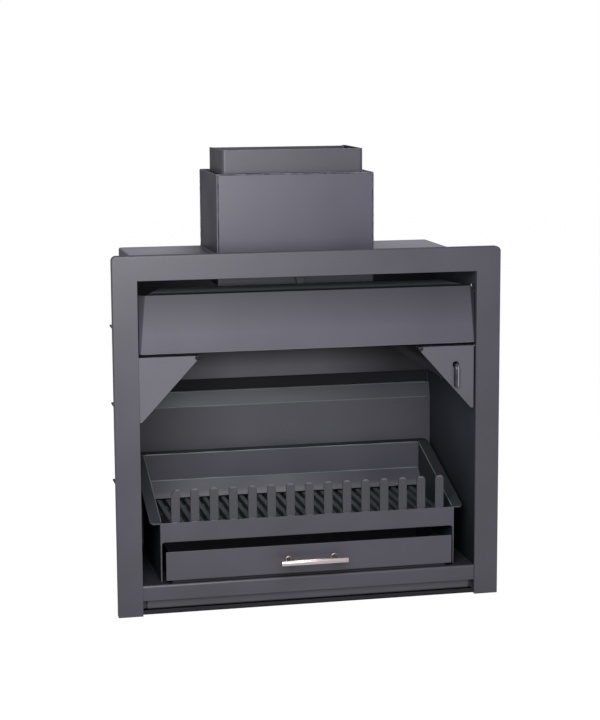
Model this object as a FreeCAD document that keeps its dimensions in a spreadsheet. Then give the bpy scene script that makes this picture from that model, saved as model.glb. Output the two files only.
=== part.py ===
import FreeCAD, Part
import math
import os
import Sketcher

# Built-in barbecue fireplace: a sheet-steel firebox behind a three-sided trim frame, with a smoke flap,
# a flue with a butterfly damper, a fire basket and an ash drawer.
# Millimetres. X runs to the right, Y to the back and Z up. The origin is the bottom centre of the whole.

SIZES = {
    # trim frame and sheet steel
    "frame_width": 800.0,
    "frame_height": 733.0,
    "trim_width": 50.0,
    "trim_return": 18.0,
    "corner_radius": 10.0,
    "plate": 3.0,
    # firebox
    "body_depth": 360.0,
    "body_drop": 24.0,
    "hearth_height": 63.0,
    "lip_height": 32.0,
    "base_setback": 12.0,
    "base_height": 10.0,
    "base_flange": 30.0,
    "skid_setback": 25.0,
    "rail_end_gap": 10.0,
    "fireback_gap": 15.0,
    "fireback_height": 300.0,
    "fireback_flange": 33.0,
    "fireback_lean": 11.0,
    "slot_height": 28.0,
    "baffle_gap": 5.0,
    # corner gussets
    "gusset_width": 122.0,
    "gusset_height": 126.0,
    "gusset_gap": 12.0,
    "gusset_setback": 5.0,
    "gusset_tip": 5.0,
    "stop_radius": 4.0,
    "stop_length": 12.0,
    "stop_inset": 12.0,
    "stop_drop": 6.0,
    # wall lugs
    "lug_reach": 38.0,
    "lug_height": 30.0,
    "lug_width": 40.0,
    "lug_setback": 95.0,
    "lug_drop": 129.0,
    "lug_pitch": 161.0,
    "lug_hole": 4.5,
    # flue
    "flue_width": 331.0,
    "flue_depth": 209.0,
    "flue_back_gap": 11.0,
    "flue_headroom": 28.0,
    "collar_width": 299.0,
    "collar_depth": 157.0,
    "collar_height": 48.0,
    "collar_tail": 20.0,
    "collar_wall": 2.5,
    # smoke flap
    "throat_gap": 32.0,
    "flap_height": 115.0,
    "flap_foot_gap": 2.0,
    "flap_head_gap": 13.0,
    "flap_setback": 2.0,
    "flap_head": 26.0,
    "cheek_depth": 12.0,
    "pivot_setback": 14.0,
    "pivot_drop": 7.0,
    "pivot_radius": 4.0,
    "ear_width": 18.0,
    "ear_height": 22.0,
    # damper and its linkage
    "damper_side_gap": 14.5,
    "damper_end_gap": 7.5,
    "shaft_radius": 6.0,
    "shaft_drop": 21.0,
    "shaft_edge": 25.0,
    "lever_inset": 43.0,
    "lever_down": 34.0,
    "lever_radius": 4.5,
    "lever_drop": 46.0,
    "lever_stand": 7.0,
    "bracket_gap": 18.0,
    "bracket_width": 58.0,
    "bracket_height": 34.0,
    "crank_gap": 21.0,
    "crank_length": 40.0,
    "crank_angle": 280.0,
    "crank_width": 16.0,
    "crank_plate": 6.0,
    "link_plate": 5.0,
    "link_width": 14.0,
    "pin_radius": 4.0,
    # fire basket
    "basket_gap": 40.0,
    "basket_setback": 20.0,
    "basket_rear_gap": 55.0,
    "rail_rise": 123.0,
    "rail_height": 40.0,
    "leg_width": 8.0,
    "back_rise": 87.0,
    "fold_rise": 29.0,
    "back_slope": 30.0,
    "wing_width": 20.0,
    "tooth_width": 18.0,
    "tooth_plate": 5.0,
    "tooth_rise": 68.0,
    "tooth_round": 5.0,
    "tooth_pitch": 40.0,
    "tooth_margin": 30.0,
    "bar_size": 10.0,
    "bar_pitch": 20.0,
    "bar_margin": 27.0,
    "bar_drop": 6.0,
    "bearer_height": 20.0,
    "bearer_plate": 5.0,
    "bearer_inset": 18.0,
    # ash drawer
    "drawer_gap": 1.0,
    "drawer_setback": 6.0,
    "ash_gap": 17.0,
    "drawer_floor_gap": 4.0,
    "tray_inset": 12.0,
    "tray_depth": 222.0,
    "tray_drop": 11.5,
    "tray_wall": 2.0,
    "handle_length": 140.0,
    "handle_radius": 6.0,
    "handle_spacing": 96.0,
    "handle_reach": 34.0,
    "handle_drop": 29.0,
    "post_radius": 5.0,
    "screw_radius": 4.0,
    "screw_head": 3.0,
    "screw_head_radius": 8.0,
    # fits
    "running": 0.08,
    "slide_gap": 0.5,
    "open_pivot": 0.6,
}

LUG_COUNT = 3
SIDES = {"left": -1, "right": 1}


class Size:
    """A length: its value in millimetres and the spreadsheet formula that gives it."""

    def __init__(self, value, formula):
        self.value = value
        self.formula = formula

    def _join(self, other, sign, value):
        return Size(value, f"({self.formula} {sign} {as_size(other).formula})")

    def __add__(self, other):
        return self._join(other, "+", self.value + as_size(other).value)

    def __sub__(self, other):
        return self._join(other, "-", self.value - as_size(other).value)

    def __mul__(self, other):
        return self._join(other, "*", self.value * as_size(other).value)

    def __truediv__(self, other):
        return self._join(other, "/", self.value / as_size(other).value)

    def __neg__(self):
        return self * -1


def as_size(number):
    """Return a Size for a plain number, and a Size as it is."""
    if isinstance(number, Size):
        return number
    return Size(float(number), f"({float(number)})")


class Sizes:
    """The spreadsheet's sizes, read by name."""

    def __init__(self, table):
        for name, value in table.items():
            setattr(self, name, Size(value, f"sizes.{name}"))


def make_sheet(document):
    """Put every driving size into a spreadsheet, one row each, under its own alias."""
    sheet = document.addObject("Spreadsheet::Sheet", "sizes")
    for row, (name, value) in enumerate(SIZES.items(), start=1):
        sheet.set(f"A{row}", name)
        sheet.set(f"B{row}", str(value))
        sheet.setAlias(f"B{row}", name)
    document.recompute()


doc = FreeCAD.newDocument("built_in_fireplace")
make_sheet(doc)
s = Sizes(SIZES)
nodes = {}


def bind(thing, path, size):
    """Tie one property of an object to a size."""
    thing.setExpression(path, as_size(size).formula)


def node(label, thing):
    """Name a finished sub-part and keep it for export."""
    thing.Label = label
    nodes[label] = thing
    return thing


def box(name, x, y, z):
    """A block between low and high on each axis."""
    solid = doc.addObject("Part::Box", name)
    for side, axis, (low, high) in (("Length", "x", x), ("Width", "y", y), ("Height", "z", z)):
        bind(solid, side, high - low)
        bind(solid, f"Placement.Base.{axis}", low)
    return solid


TURN_TO = {
    "x": FreeCAD.Rotation(FreeCAD.Vector(0, 1, 0), 90),
    "y": FreeCAD.Rotation(FreeCAD.Vector(1, 0, 0), -90),
    "z": FreeCAD.Rotation(),
}


def rod(name, axis, span, centre, radius):
    """A round bar along an axis from low to high, with its centre on the other two axes in X, Y, Z order."""
    solid = doc.addObject("Part::Cylinder", name)
    solid.Placement = FreeCAD.Placement(FreeCAD.Vector(), TURN_TO[axis])
    low, high = span
    bind(solid, "Radius", radius)
    bind(solid, "Height", high - low)
    bind(solid, f"Placement.Base.{axis}", low)
    for other, place in zip([letter for letter in "xyz" if letter != axis], centre):
        bind(solid, f"Placement.Base.{other}", place)
    return solid


def fuse(name, parts):
    """Join blocks that are one piece of metal."""
    joined = doc.addObject("Part::MultiFuse", name)
    joined.Shapes = parts
    joined.Refine = True
    return joined


def cut(name, base, tool):
    """Take the tool's space out of the base."""
    result = doc.addObject("Part::Cut", name)
    result.Base = base
    result.Tool = tool
    return result


def group(name, parts):
    """Separate solids that share one node."""
    compound = doc.addObject("Part::Compound", name)
    compound.Links = parts
    return compound


def hold_point(sketch, line, place, point):
    """Hold a sketch point at its two distances from the origin."""
    for kind, size in zip(("DistanceX", "DistanceY"), point):
        index = sketch.addConstraint(Sketcher.Constraint(kind, -1, 1, line, place, size.value))
        sketch.setExpression(f"Constraints[{index}]", size.formula)


def draw_outline(sketch, points):
    """Draw a closed outline of straight sides through points held at their sizes."""
    first = sketch.GeometryCount
    corners = [FreeCAD.Vector(u.value, v.value, 0) for u, v in points]
    count = len(corners)
    for index in range(count):
        sketch.addGeometry(Part.LineSegment(corners[index], corners[(index + 1) % count]), False)
    for index in range(count):
        following = first + (index + 1) % count
        sketch.addConstraint(Sketcher.Constraint("Coincident", first + index, 2, following, 1))
    for index, point in enumerate(points):
        hold_point(sketch, first + index, 1, point)


def draw_hole(sketch, u, v, radius):
    """Draw a round hole held at its centre and radius."""
    circle = Part.Circle(FreeCAD.Vector(u.value, v.value, 0), FreeCAD.Vector(0, 0, 1), radius.value)
    line = sketch.addGeometry(circle, False)
    hold_point(sketch, line, 3, (u, v))
    index = sketch.addConstraint(Sketcher.Constraint("Radius", line, radius.value))
    sketch.setExpression(f"Constraints[{index}]", radius.formula)


def folded(name, plane, points, span, holes=()):
    """A sheet piece: an outline on the XY, XZ or YZ plane, padded from low to high along the third axis."""
    body = doc.addObject("PartDesign::Body", name)
    sketch = body.newObject("Sketcher::SketchObject", f"{name}_outline")
    support = next(item for item in body.Origin.OriginFeatures if item.Role == f"{plane}_Plane")
    sketch.AttachmentSupport = [(support, "")]
    sketch.MapMode = "FlatFace"
    low, high = (as_size(end) for end in span)
    # the XZ plane's own normal points to the front
    bind(sketch, "AttachmentOffset.Base.z", -high if plane == "XZ" else low)
    draw_outline(sketch, [(as_size(u), as_size(v)) for u, v in points])
    for u, v, radius in holes:
        draw_hole(sketch, as_size(u), as_size(v), as_size(radius))
    pad = body.newObject("PartDesign::Pad", f"{name}_sheet")
    pad.Profile = sketch
    bind(pad, "Length", high - low)
    body.Tip = pad
    doc.recompute()
    return body


def round_edges(body, name, radius, wanted):
    """Round the straight edges of a body's last feature that the test picks by their middle and direction."""
    base = body.Tip
    picked = []
    for number, edge in enumerate(base.Shape.Edges, start=1):
        middle = edge.valueAt((edge.FirstParameter + edge.LastParameter) / 2)
        if wanted(middle, edge.tangentAt(edge.FirstParameter)):
            picked.append(f"Edge{number}")
    fillet = body.newObject("PartDesign::Fillet", name)
    fillet.Base = (base, picked)
    bind(fillet, "Radius", radius)
    body.Tip = fillet
    doc.recompute()
    return body


def both(half):
    """A width either side of the middle."""
    return (-half, half)


def outward(side, inner, outer):
    """A span from inner to outer on the left or the right of the middle."""
    return (inner, outer) if SIDES[side] > 0 else (-outer, -inner)


def row(half, pitch):
    """Middles of as many copies at a pitch as fit within a half width either side of the middle."""
    count = int(round(2 * half.value / pitch.value, 6)) + 1
    return [pitch * (number - (count - 1) / 2) for number in range(count)]


# shared places
front = -(s.body_depth - s.handle_reach) / 2
ground = as_size(0)
half_frame = s.frame_width / 2
half_open = half_frame - s.trim_width
back_of_trim = front + s.plate
body_back = front + s.body_depth
inner_back = body_back - s.plate
liner_back = inner_back - s.fireback_gap
liner_front = liner_back - s.plate
opening_top = s.frame_height - s.trim_width
body_height = s.frame_height - s.body_drop
under_top = body_height - s.plate
hearth_under = s.hearth_height - s.plate
flap_top = opening_top - s.throat_gap
flap_bottom = flap_top - s.flap_height
gusset_top = flap_bottom - s.gusset_gap
lever_x = half_open - s.lever_inset
lever_z = gusset_top - s.lever_down
flue_back = inner_back - s.flue_back_gap
flue_front = flue_back - s.flue_depth
flue_middle = flue_front + s.flue_depth / 2
damper_half = s.flue_width / 2 - s.plate - s.damper_side_gap
damper_height = under_top - s.shaft_drop
flue_bottom = damper_height - s.shaft_edge
collar_foot = damper_height + damper_half + s.flue_headroom
flue_top = collar_foot + s.collar_tail


def trim_frame():
    """The three-sided frame, with its outer edges folded back to meet the wall."""
    outline = [
        (-half_frame, ground), (-half_open, ground), (-half_open, opening_top), (half_open, opening_top),
        (half_open, ground), (half_frame, ground),
        (half_frame, s.frame_height), (-half_frame, s.frame_height),
    ]
    face = folded("trim_face", "XZ", outline, (front, back_of_trim))
    rim_back = front + s.trim_return
    rim_inner = half_frame - s.plate
    rim_top = s.frame_height - s.plate
    rim = folded("trim_rim", "XZ", [
        (-half_frame, ground), (-rim_inner, ground), (-rim_inner, rim_top), (rim_inner, rim_top),
        (rim_inner, ground), (half_frame, ground),
        (half_frame, s.frame_height), (-half_frame, s.frame_height),
    ], (back_of_trim, rim_back))

    def is_outer_corner(middle, along):
        at_top = abs(middle.z - s.frame_height.value) < 0.01
        at_side = abs(abs(middle.x) - half_frame.value) < 0.01
        return at_top and at_side and abs(along.y) > 0.99

    for body in (face, rim):
        round_edges(body, f"{body.Name}_corners", s.corner_radius, is_outer_corner)
    node("trim_frame", fuse("trim_fused", [face, rim]))


def firebox():
    """The box behind the frame: sides, back, top, hearth plate with its lip, and the base under it."""
    for side in SIDES:
        wall = outward(side, half_open, half_open + s.plate)
        node(f"body_side_{side}", box(f"side_{side}", wall, (back_of_trim, body_back), (ground, body_height)))
    node("body_back", box("back_panel", both(half_open), (inner_back, body_back), (ground, body_height)))
    top = box("top_panel", both(half_open), (back_of_trim, inner_back), (under_top, body_height))
    hole = box("top_flue_hole", both(s.flue_width / 2), (flue_front, flue_back),
               (under_top - s.plate, body_height + s.plate))
    node("body_top", cut("top_cut", top, hole))

    lip_bottom = s.hearth_height - s.lip_height
    lip_back = back_of_trim + s.plate
    hearth = folded("hearth_sheet", "YZ", [
        (back_of_trim, lip_bottom), (lip_back, lip_bottom), (lip_back, hearth_under),
        (inner_back, hearth_under), (inner_back, s.hearth_height), (back_of_trim, s.hearth_height),
    ], both(half_open))
    node("hearth_plate", hearth)

    rail_front = front + s.base_setback
    rail_back = rail_front + s.base_flange
    foot = s.base_height
    half_rail = half_open - s.rail_end_gap
    node("base_front_rail", folded("front_rail", "YZ", [
        (rail_front, foot), (rail_back, foot), (rail_back, foot + s.plate),
        (rail_front + s.plate, foot + s.plate), (rail_front + s.plate, hearth_under),
        (rail_front, hearth_under),
    ], both(half_rail)))
    node("base_rear_rail", box("rear_rail", both(half_open), (liner_front, liner_back), (s.plate, hearth_under)))
    skid_front = front + s.skid_setback
    node("base_plate", folded("base_sheet", "YZ", [
        (skid_front, ground), (inner_back, ground), (inner_back, s.plate), (skid_front + s.plate, s.plate),
        (skid_front + s.plate, foot), (skid_front, foot),
    ], both(half_open)))


def fire_back():
    """The liner behind the fire, its top leaning back, and the baffle hung above the air slot."""
    bend = s.hearth_height + s.fireback_height
    tip = bend + s.fireback_flange
    node("fire_back", folded("fire_back_sheet", "YZ", [
        (liner_front, s.hearth_height), (liner_back, s.hearth_height), (liner_back, bend),
        (liner_back + s.fireback_lean, tip), (liner_front + s.fireback_lean, tip), (liner_front, bend),
    ], both(half_open)))
    baffle_bottom = tip + s.slot_height
    node("smoke_baffle", box("baffle_sheet", both(half_open), (liner_front, liner_back),
                             (baffle_bottom, flue_bottom - s.baffle_gap)))


gusset_front = front + s.gusset_setback
gusset_back = gusset_front + s.plate


def gussets():
    """The corner plates under the flap, each with a stop bolt near its tip."""
    for side, sign in SIDES.items():
        wall = half_open * sign
        tip = (half_open - s.gusset_width) * sign
        low = gusset_top - s.gusset_height
        holes = [(lever_x, lever_z, s.lever_radius + s.running)] if side == "right" else []
        stop_x = (half_open - s.gusset_width + s.stop_inset) * sign
        stop_z = gusset_top - s.stop_drop
        node(f"gusset_{side}", folded(f"gusset_{side}_sheet", "XZ", [
            (wall, gusset_top), (tip, gusset_top), (tip, gusset_top - s.gusset_tip),
            (wall - s.gusset_tip * sign, low), (wall, low),
        ], (gusset_front, gusset_back), holes))
        node(f"stop_bolt_{side}", rod(f"stop_{side}", "y", (gusset_back, gusset_back + s.stop_length),
                                      (stop_x, stop_z), s.stop_radius))


def wall_lugs():
    """Bent tabs on both sides that are built into the brickwork: a foot on the wall and a slanted blade."""
    lug_front = front + s.lug_setback
    for side in SIDES:
        lugs = []
        for number in range(LUG_COUNT):
            top = body_height - s.lug_drop - s.lug_pitch * number
            root = half_open + s.plate
            sign = SIDES[side]
            lug = folded(f"lug_{side}_{number}", "XZ", [
                (root * sign, top), ((root + s.lug_reach) * sign, top),
                ((root + s.lug_reach) * sign, top - s.plate), ((root + s.plate) * sign, top - s.plate),
                ((root + s.plate) * sign, top - s.lug_height), (root * sign, top - s.lug_height),
            ], (lug_front, lug_front + s.lug_width))
            bore = rod(f"lug_{side}_{number}_bore", "z", (top - s.plate * 2, top + s.plate),
                       ((root + s.lug_reach / 2) * sign, lug_front + s.lug_width / 2), s.lug_hole)
            lugs.append(cut(f"lug_{side}_{number}_drilled", lug, bore))
        node(f"wall_lugs_{side}", group(f"lugs_{side}", lugs))


def flue():
    """The rectangular flue casing with a top plate, and the collar that takes the chimney."""
    half = s.flue_width / 2
    ceiling = flue_top - s.plate
    collar_half = s.collar_width / 2
    collar_y = (flue_middle - s.collar_depth / 2, flue_middle + s.collar_depth / 2)
    shell = box("flue_shell", both(half), (flue_front, flue_back), (flue_bottom, flue_top))
    hollow = box("flue_hollow", both(half - s.plate), (flue_front + s.plate, flue_back - s.plate),
                 (flue_bottom - s.plate, ceiling))
    mouth = box("flue_mouth", both(collar_half), collar_y, (ceiling - s.plate, flue_top + s.plate))
    bore = rod("flue_shaft_bore", "y", (flue_front - s.plate, flue_back + s.plate), (ground, damper_height),
               s.shaft_radius + s.running)
    node("flue_casing", cut("flue_bored", cut("flue_open", cut("flue_tube", shell, hollow), mouth), bore))

    rim = flue_top + s.collar_height
    low, high = collar_y
    sleeve = box("collar_sleeve", both(collar_half), collar_y, (collar_foot, rim))
    inside = box("collar_inside", both(collar_half - s.collar_wall),
                 (low + s.collar_wall, high - s.collar_wall), (collar_foot - s.plate, rim + s.plate))
    node("flue_collar", cut("collar_tube", sleeve, inside))


def smoke_flap():
    """The hinged plate across the top of the opening, wider at its foot, and the two pins it swings on."""
    flap_front = front + s.flap_setback
    flap_back = flap_front + s.plate
    foot_half = half_open - s.flap_foot_gap
    head_half = half_open - s.flap_head_gap
    face = folded("flap_face", "XZ", [
        (-foot_half, flap_bottom), (foot_half, flap_bottom), (head_half, flap_top), (-head_half, flap_top),
    ], (flap_front, flap_back))
    head = box("flap_head_fold", both(head_half), (flap_back, flap_back + s.flap_head),
               (flap_top - s.plate, flap_top))
    pieces = [face, head]
    pivot_y = front + s.pivot_setback
    pivot_z = flap_top - s.pivot_drop - s.plate
    hole = s.pivot_radius + s.running
    for side, sign in SIDES.items():
        cheek_back = flap_back + s.cheek_depth
        pieces.append(folded(f"flap_cheek_{side}", "XZ", [
            (foot_half * sign, flap_bottom), (head_half * sign, flap_top),
            ((head_half - s.plate) * sign, flap_top), ((foot_half - s.plate) * sign, flap_bottom),
        ], (flap_back, cheek_back)))
        ear = outward(side, head_half - s.plate * 2, head_half - s.plate)
        pieces.append(folded(f"flap_ear_{side}", "YZ", [
            (flap_back, flap_top - s.plate), (flap_back + s.ear_width, flap_top - s.plate),
            (flap_back + s.ear_width, flap_top - s.ear_height), (flap_back, flap_top - s.ear_height),
        ], ear))
    body = fuse("flap_fused", pieces)
    for side in SIDES:
        through = outward(side, head_half - s.plate * 4, half_open)
        bore = rod(f"flap_bore_{side}", "x", through, (pivot_y, pivot_z), hole)
        body = cut(f"flap_bored_{side}", body, bore)
        node(f"flap_pin_{side}", rod(f"pin_{side}", "x", outward(side, head_half - s.plate * 3, half_open),
                                     (pivot_y, pivot_z), s.pivot_radius))
    node("smoke_flap", body)


crank_front = flue_front - s.crank_gap
crank_back = crank_front + s.crank_plate
link_front = crank_front - s.link_plate - s.slide_gap
pin_nose = link_front - s.plate


def crank(name, x, z, hub_radius):
    """A flat crank arm on a shaft at x, z, with the round pin that the link turns on."""
    angle = math.radians(s.crank_angle.value)
    along = (math.cos(angle), math.sin(angle))
    half = s.crank_width / 2
    reach = s.crank_length + half
    corners = [(-half, -half), (reach, -half), (reach, half), (-half, half)]
    outline = [(x + u * along[0] - v * along[1], z + u * along[1] + v * along[0]) for u, v in corners]
    arm = folded(f"{name}_arm", "XZ", outline, (crank_front, crank_back), [(x, z, hub_radius)])
    centre = (x + s.crank_length * along[0], z + s.crank_length * along[1])
    pin = rod(f"{name}_pin", "y", (pin_nose, crank_front), centre, s.pin_radius)
    return fuse(f"{name}_fused", [arm, pin]), centre


def damper():
    """The butterfly plate in the flue, the lever in the right gusset and the link that ties them together."""
    node("damper_shaft", rod("shaft", "y", (crank_front, flue_back + s.plate), (ground, damper_height),
                             s.shaft_radius))
    half_depth = s.flue_depth / 2 - s.plate - s.damper_end_gap
    blade = box("damper_blade", both(s.plate / 2), (flue_middle - half_depth, flue_middle + half_depth),
                (damper_height - damper_half, damper_height + damper_half))
    groove_half = half_depth + s.plate
    groove = rod("damper_groove", "y", (flue_middle - groove_half, flue_middle + groove_half),
                 (ground, damper_height), s.shaft_radius)
    node("damper_plate", cut("damper_split", blade, groove))
    damper_crank, damper_pin = crank("damper_crank", ground, damper_height, s.shaft_radius)
    node("damper_crank", damper_crank)

    grip = gusset_front - s.lever_stand
    stem = rod("lever_stem", "y", (grip, crank_back), (lever_x, lever_z), s.lever_radius)
    drop = rod("lever_drop_bar", "z", (lever_z - s.lever_drop, lever_z), (lever_x, grip), s.lever_radius)
    elbow = doc.addObject("Part::Sphere", "lever_elbow")
    bind(elbow, "Radius", s.lever_radius)
    for axis, place in zip("xyz", (lever_x, grip, lever_z)):
        bind(elbow, f"Placement.Base.{axis}", place)
    node("damper_lever", fuse("lever_fused", [stem, drop, elbow]))
    lever_crank, lever_pin = crank("lever_crank", lever_x, lever_z, s.lever_radius)
    node("lever_crank", lever_crank)

    bracket_front = crank_front - s.bracket_gap
    middle = s.bracket_height / 2
    node("lever_bracket", folded("bracket_sheet", "XZ", [
        (half_open, lever_z + middle), (half_open - s.bracket_width, lever_z + middle),
        (half_open - s.bracket_width, lever_z - middle), (half_open, lever_z - middle),
    ], (bracket_front, bracket_front + s.plate), [(lever_x, lever_z, s.lever_radius + s.running)]))

    run = (damper_pin[0].value - lever_pin[0].value, damper_pin[1].value - lever_pin[1].value)
    length = math.hypot(*run)
    side = (-run[1] / length, run[0] / length)
    lead = (run[0] / length, run[1] / length)
    half = s.link_width / 2
    outline = []
    for end, step in ((lever_pin, -1), (damper_pin, 1)):
        for edge in (step, -step):
            outline.append((end[0] + half * (lead[0] * step + side[0] * edge),
                            end[1] + half * (lead[1] * step + side[1] * edge)))
    node("damper_link", folded("link_bar", "XZ", outline, (link_front, link_front + s.link_plate), [
        (*lever_pin, s.pin_radius + s.running), (*damper_pin, s.pin_radius + s.open_pivot),
    ]))


basket_front = front + s.basket_setback
basket_back = liner_front - s.basket_rear_gap
behind_rail = basket_front + s.plate
half_basket = half_open - s.basket_gap
inside_basket = half_basket - s.plate
half_portal = half_basket - s.leg_width
rail_top = s.hearth_height + s.rail_rise
rail_under = rail_top - s.rail_height
bar_top = rail_top - s.bar_drop
bar_under = bar_top - s.bar_size
basket_foot = s.hearth_height + s.slide_gap


def fire_basket():
    """The basket: front portal and teeth, sloping sides with outward wings, folded back and grate bars."""
    node("basket_front", folded("portal", "XZ", [
        (-half_basket, basket_foot), (-half_portal, basket_foot), (-half_portal, rail_under),
        (half_portal, rail_under), (half_portal, basket_foot), (half_basket, basket_foot),
        (half_basket, rail_top), (-half_basket, rail_top),
    ], (basket_front, behind_rail)))
    back_top = rail_top + s.back_rise
    for side in SIDES:
        panel = folded(f"basket_panel_{side}", "YZ", [
            (behind_rail, basket_foot), (basket_back, basket_foot), (basket_back, back_top),
            (behind_rail, rail_top),
        ], outward(side, inside_basket, half_basket))
        wing = folded(f"basket_wing_{side}", "YZ", [
            (behind_rail, rail_top - s.plate), (basket_back, back_top - s.plate),
            (basket_back, back_top), (behind_rail, rail_top),
        ], outward(side, half_basket, half_basket + s.wing_width))
        node(f"basket_side_{side}", fuse(f"basket_side_{side}_fused", [panel, wing]))
    back_inner = basket_back - s.plate
    back_fold = rail_top + s.fold_rise
    back_foot = bar_top + s.plate
    node("basket_back", folded("basket_back_sheet", "YZ", [
        (basket_back, back_top), (back_inner, back_top), (back_inner, back_fold),
        (back_inner - s.back_slope, back_foot), (back_inner - s.back_slope + s.plate, back_foot),
        (basket_back, back_fold),
    ], both(inside_basket)))

    half_tooth = s.tooth_width / 2
    tooth_top = rail_top + s.tooth_rise
    shoulder = tooth_top - s.tooth_round
    crown = half_tooth - s.tooth_round
    teeth = []
    for number, x in enumerate(row(half_basket - s.tooth_margin, s.tooth_pitch)):
        teeth.append(folded(f"tooth_{number}", "XZ", [
            (x - half_tooth, rail_under), (x + half_tooth, rail_under), (x + half_tooth, shoulder),
            (x + crown, tooth_top), (x - crown, tooth_top), (x - half_tooth, shoulder),
        ], (behind_rail, behind_rail + s.tooth_plate)))
    node("fence_teeth", group("teeth", teeth))

    bar_front = behind_rail + s.tooth_plate
    bar_back = back_inner - s.back_slope
    half_bar = s.bar_size / 2
    bars = []
    for number, x in enumerate(row(inside_basket - s.bar_margin, s.bar_pitch)):
        bars.append(box(f"bar_{number}", (x - half_bar, x + half_bar), (bar_front, bar_back),
                        (bar_under, bar_top)))
    node("grate_bars", group("bars", bars))
    bearer_z = (bar_under - s.bearer_height, bar_under)
    front_bearer = bar_front + s.bearer_inset
    rear_bearer = bar_back - s.bearer_inset
    node("bearer_front", box("front_bearer", both(inside_basket),
                             (front_bearer, front_bearer + s.bearer_plate), bearer_z))
    node("bearer_rear", box("rear_bearer", both(inside_basket), (rear_bearer - s.bearer_plate, rear_bearer),
                            bearer_z))


def ash_drawer():
    """The drawer under the grate: a folded tray, its front plate, and a bar handle on two posts."""
    drawer_front = front + s.drawer_setback
    tray_front = drawer_front + s.plate
    tray_back = tray_front + s.tray_depth
    floor = s.hearth_height + s.slide_gap
    half_front = half_portal - s.drawer_gap
    drawer_top = rail_under - s.ash_gap
    tray_top = drawer_top - s.tray_drop
    handle_z = drawer_top - s.handle_drop
    half_tray = half_front - s.tray_inset
    screw_bore = s.screw_radius + s.running
    screw_x = s.handle_spacing / 2
    holes = [(-screw_x, handle_z, screw_bore), (screw_x, handle_z, screw_bore)]
    node("drawer_front", folded("drawer_face", "XZ", [
        (-half_front, floor + s.drawer_floor_gap), (half_front, floor + s.drawer_floor_gap),
        (half_front, drawer_top), (-half_front, drawer_top),
    ], (drawer_front, tray_front), holes))
    tray = box("tray_block", both(half_tray), (tray_front, tray_back), (floor, tray_top))
    hollow = box("tray_hollow", both(half_tray - s.tray_wall),
                 (tray_front + s.tray_wall, tray_back - s.tray_wall), (floor + s.tray_wall, tray_top + s.plate))
    open_tray = cut("tray_open", tray, hollow)
    for number, (x, z, radius) in enumerate(holes):
        bore = rod(f"tray_bore_{number}", "y", (tray_front - s.plate, tray_front + s.plate), (x, z), radius)
        open_tray = cut(f"tray_bored_{number}", open_tray, bore)
    node("drawer_tray", open_tray)

    bar_y = front - s.handle_reach + s.handle_radius
    node("handle_bar", rod("handle_rail", "x", both(s.handle_length / 2), (bar_y, handle_z), s.handle_radius))
    posts = []
    screws = []
    tray_inside = tray_front + s.tray_wall
    for side in SIDES:
        x = screw_x * SIDES[side]
        post = rod(f"post_{side}", "y", (bar_y, drawer_front), (x, handle_z), s.post_radius)
        seat = rod(f"post_seat_{side}", "x", both(s.handle_length / 2), (bar_y, handle_z), s.handle_radius)
        posts.append(cut(f"post_{side}_coped", post, seat))
        shank = rod(f"screw_shank_{side}", "y", (drawer_front, tray_inside), (x, handle_z), s.screw_radius)
        head = rod(f"screw_head_{side}", "y", (tray_inside, tray_inside + s.screw_head), (x, handle_z),
                   s.screw_head_radius)
        screws.append(fuse(f"screw_{side}", [shank, head]))
    node("handle_posts", group("posts", posts))
    node("handle_screws", group("screws", screws))


def check_and_export():
    """Recompute, stop on any failed object or bad shape, and write one file for each node."""
    doc.recompute()
    for thing in doc.Objects:
        if "Invalid" in thing.State or "Error" in thing.State:
            raise RuntimeError(f"{thing.Name} did not recompute: {thing.State}")
    for label, thing in nodes.items():
        shape = thing.Shape
        if shape.isNull() or not shape.isValid():
            raise RuntimeError(f"{label} has no valid shape")
    os.makedirs("parts", exist_ok=True)
    for label, thing in nodes.items():
        thing.Shape.exportStep(f"parts/{label}.step")
        limits = thing.Shape.BoundBox
        print(f"{label}: {len(thing.Shape.Solids)} solids, {thing.Shape.Volume:.0f} mm3, "
              f"x {limits.XMin:.1f} to {limits.XMax:.1f}, y {limits.YMin:.1f} to {limits.YMax:.1f}, "
              f"z {limits.ZMin:.1f} to {limits.ZMax:.1f}")


trim_frame()
firebox()
fire_back()
gussets()
wall_lugs()
flue()
smoke_flap()
damper()
fire_basket()
ash_drawer()
check_and_export()
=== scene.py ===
import logging
import math
from collections.abc import Sequence
from dataclasses import dataclass, field, replace
from enum import Enum
from functools import partial

import bmesh
import bpy
import numpy as np
from mathutils import Matrix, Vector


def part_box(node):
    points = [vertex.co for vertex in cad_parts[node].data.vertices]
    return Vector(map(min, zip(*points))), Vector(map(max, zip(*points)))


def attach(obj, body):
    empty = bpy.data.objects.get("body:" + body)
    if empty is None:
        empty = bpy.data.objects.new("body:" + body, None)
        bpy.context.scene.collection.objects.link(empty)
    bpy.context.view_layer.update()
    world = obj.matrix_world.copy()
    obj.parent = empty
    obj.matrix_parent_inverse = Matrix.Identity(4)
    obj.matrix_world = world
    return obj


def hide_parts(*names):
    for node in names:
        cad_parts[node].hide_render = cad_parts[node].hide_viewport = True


# Looks of a built-in barbecue fireplace of folded sheet steel. Metres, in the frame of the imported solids:
# X runs to the right, Y to the back and Z up, and the front of the trim frame is at the lowest Y of its node.

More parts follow.
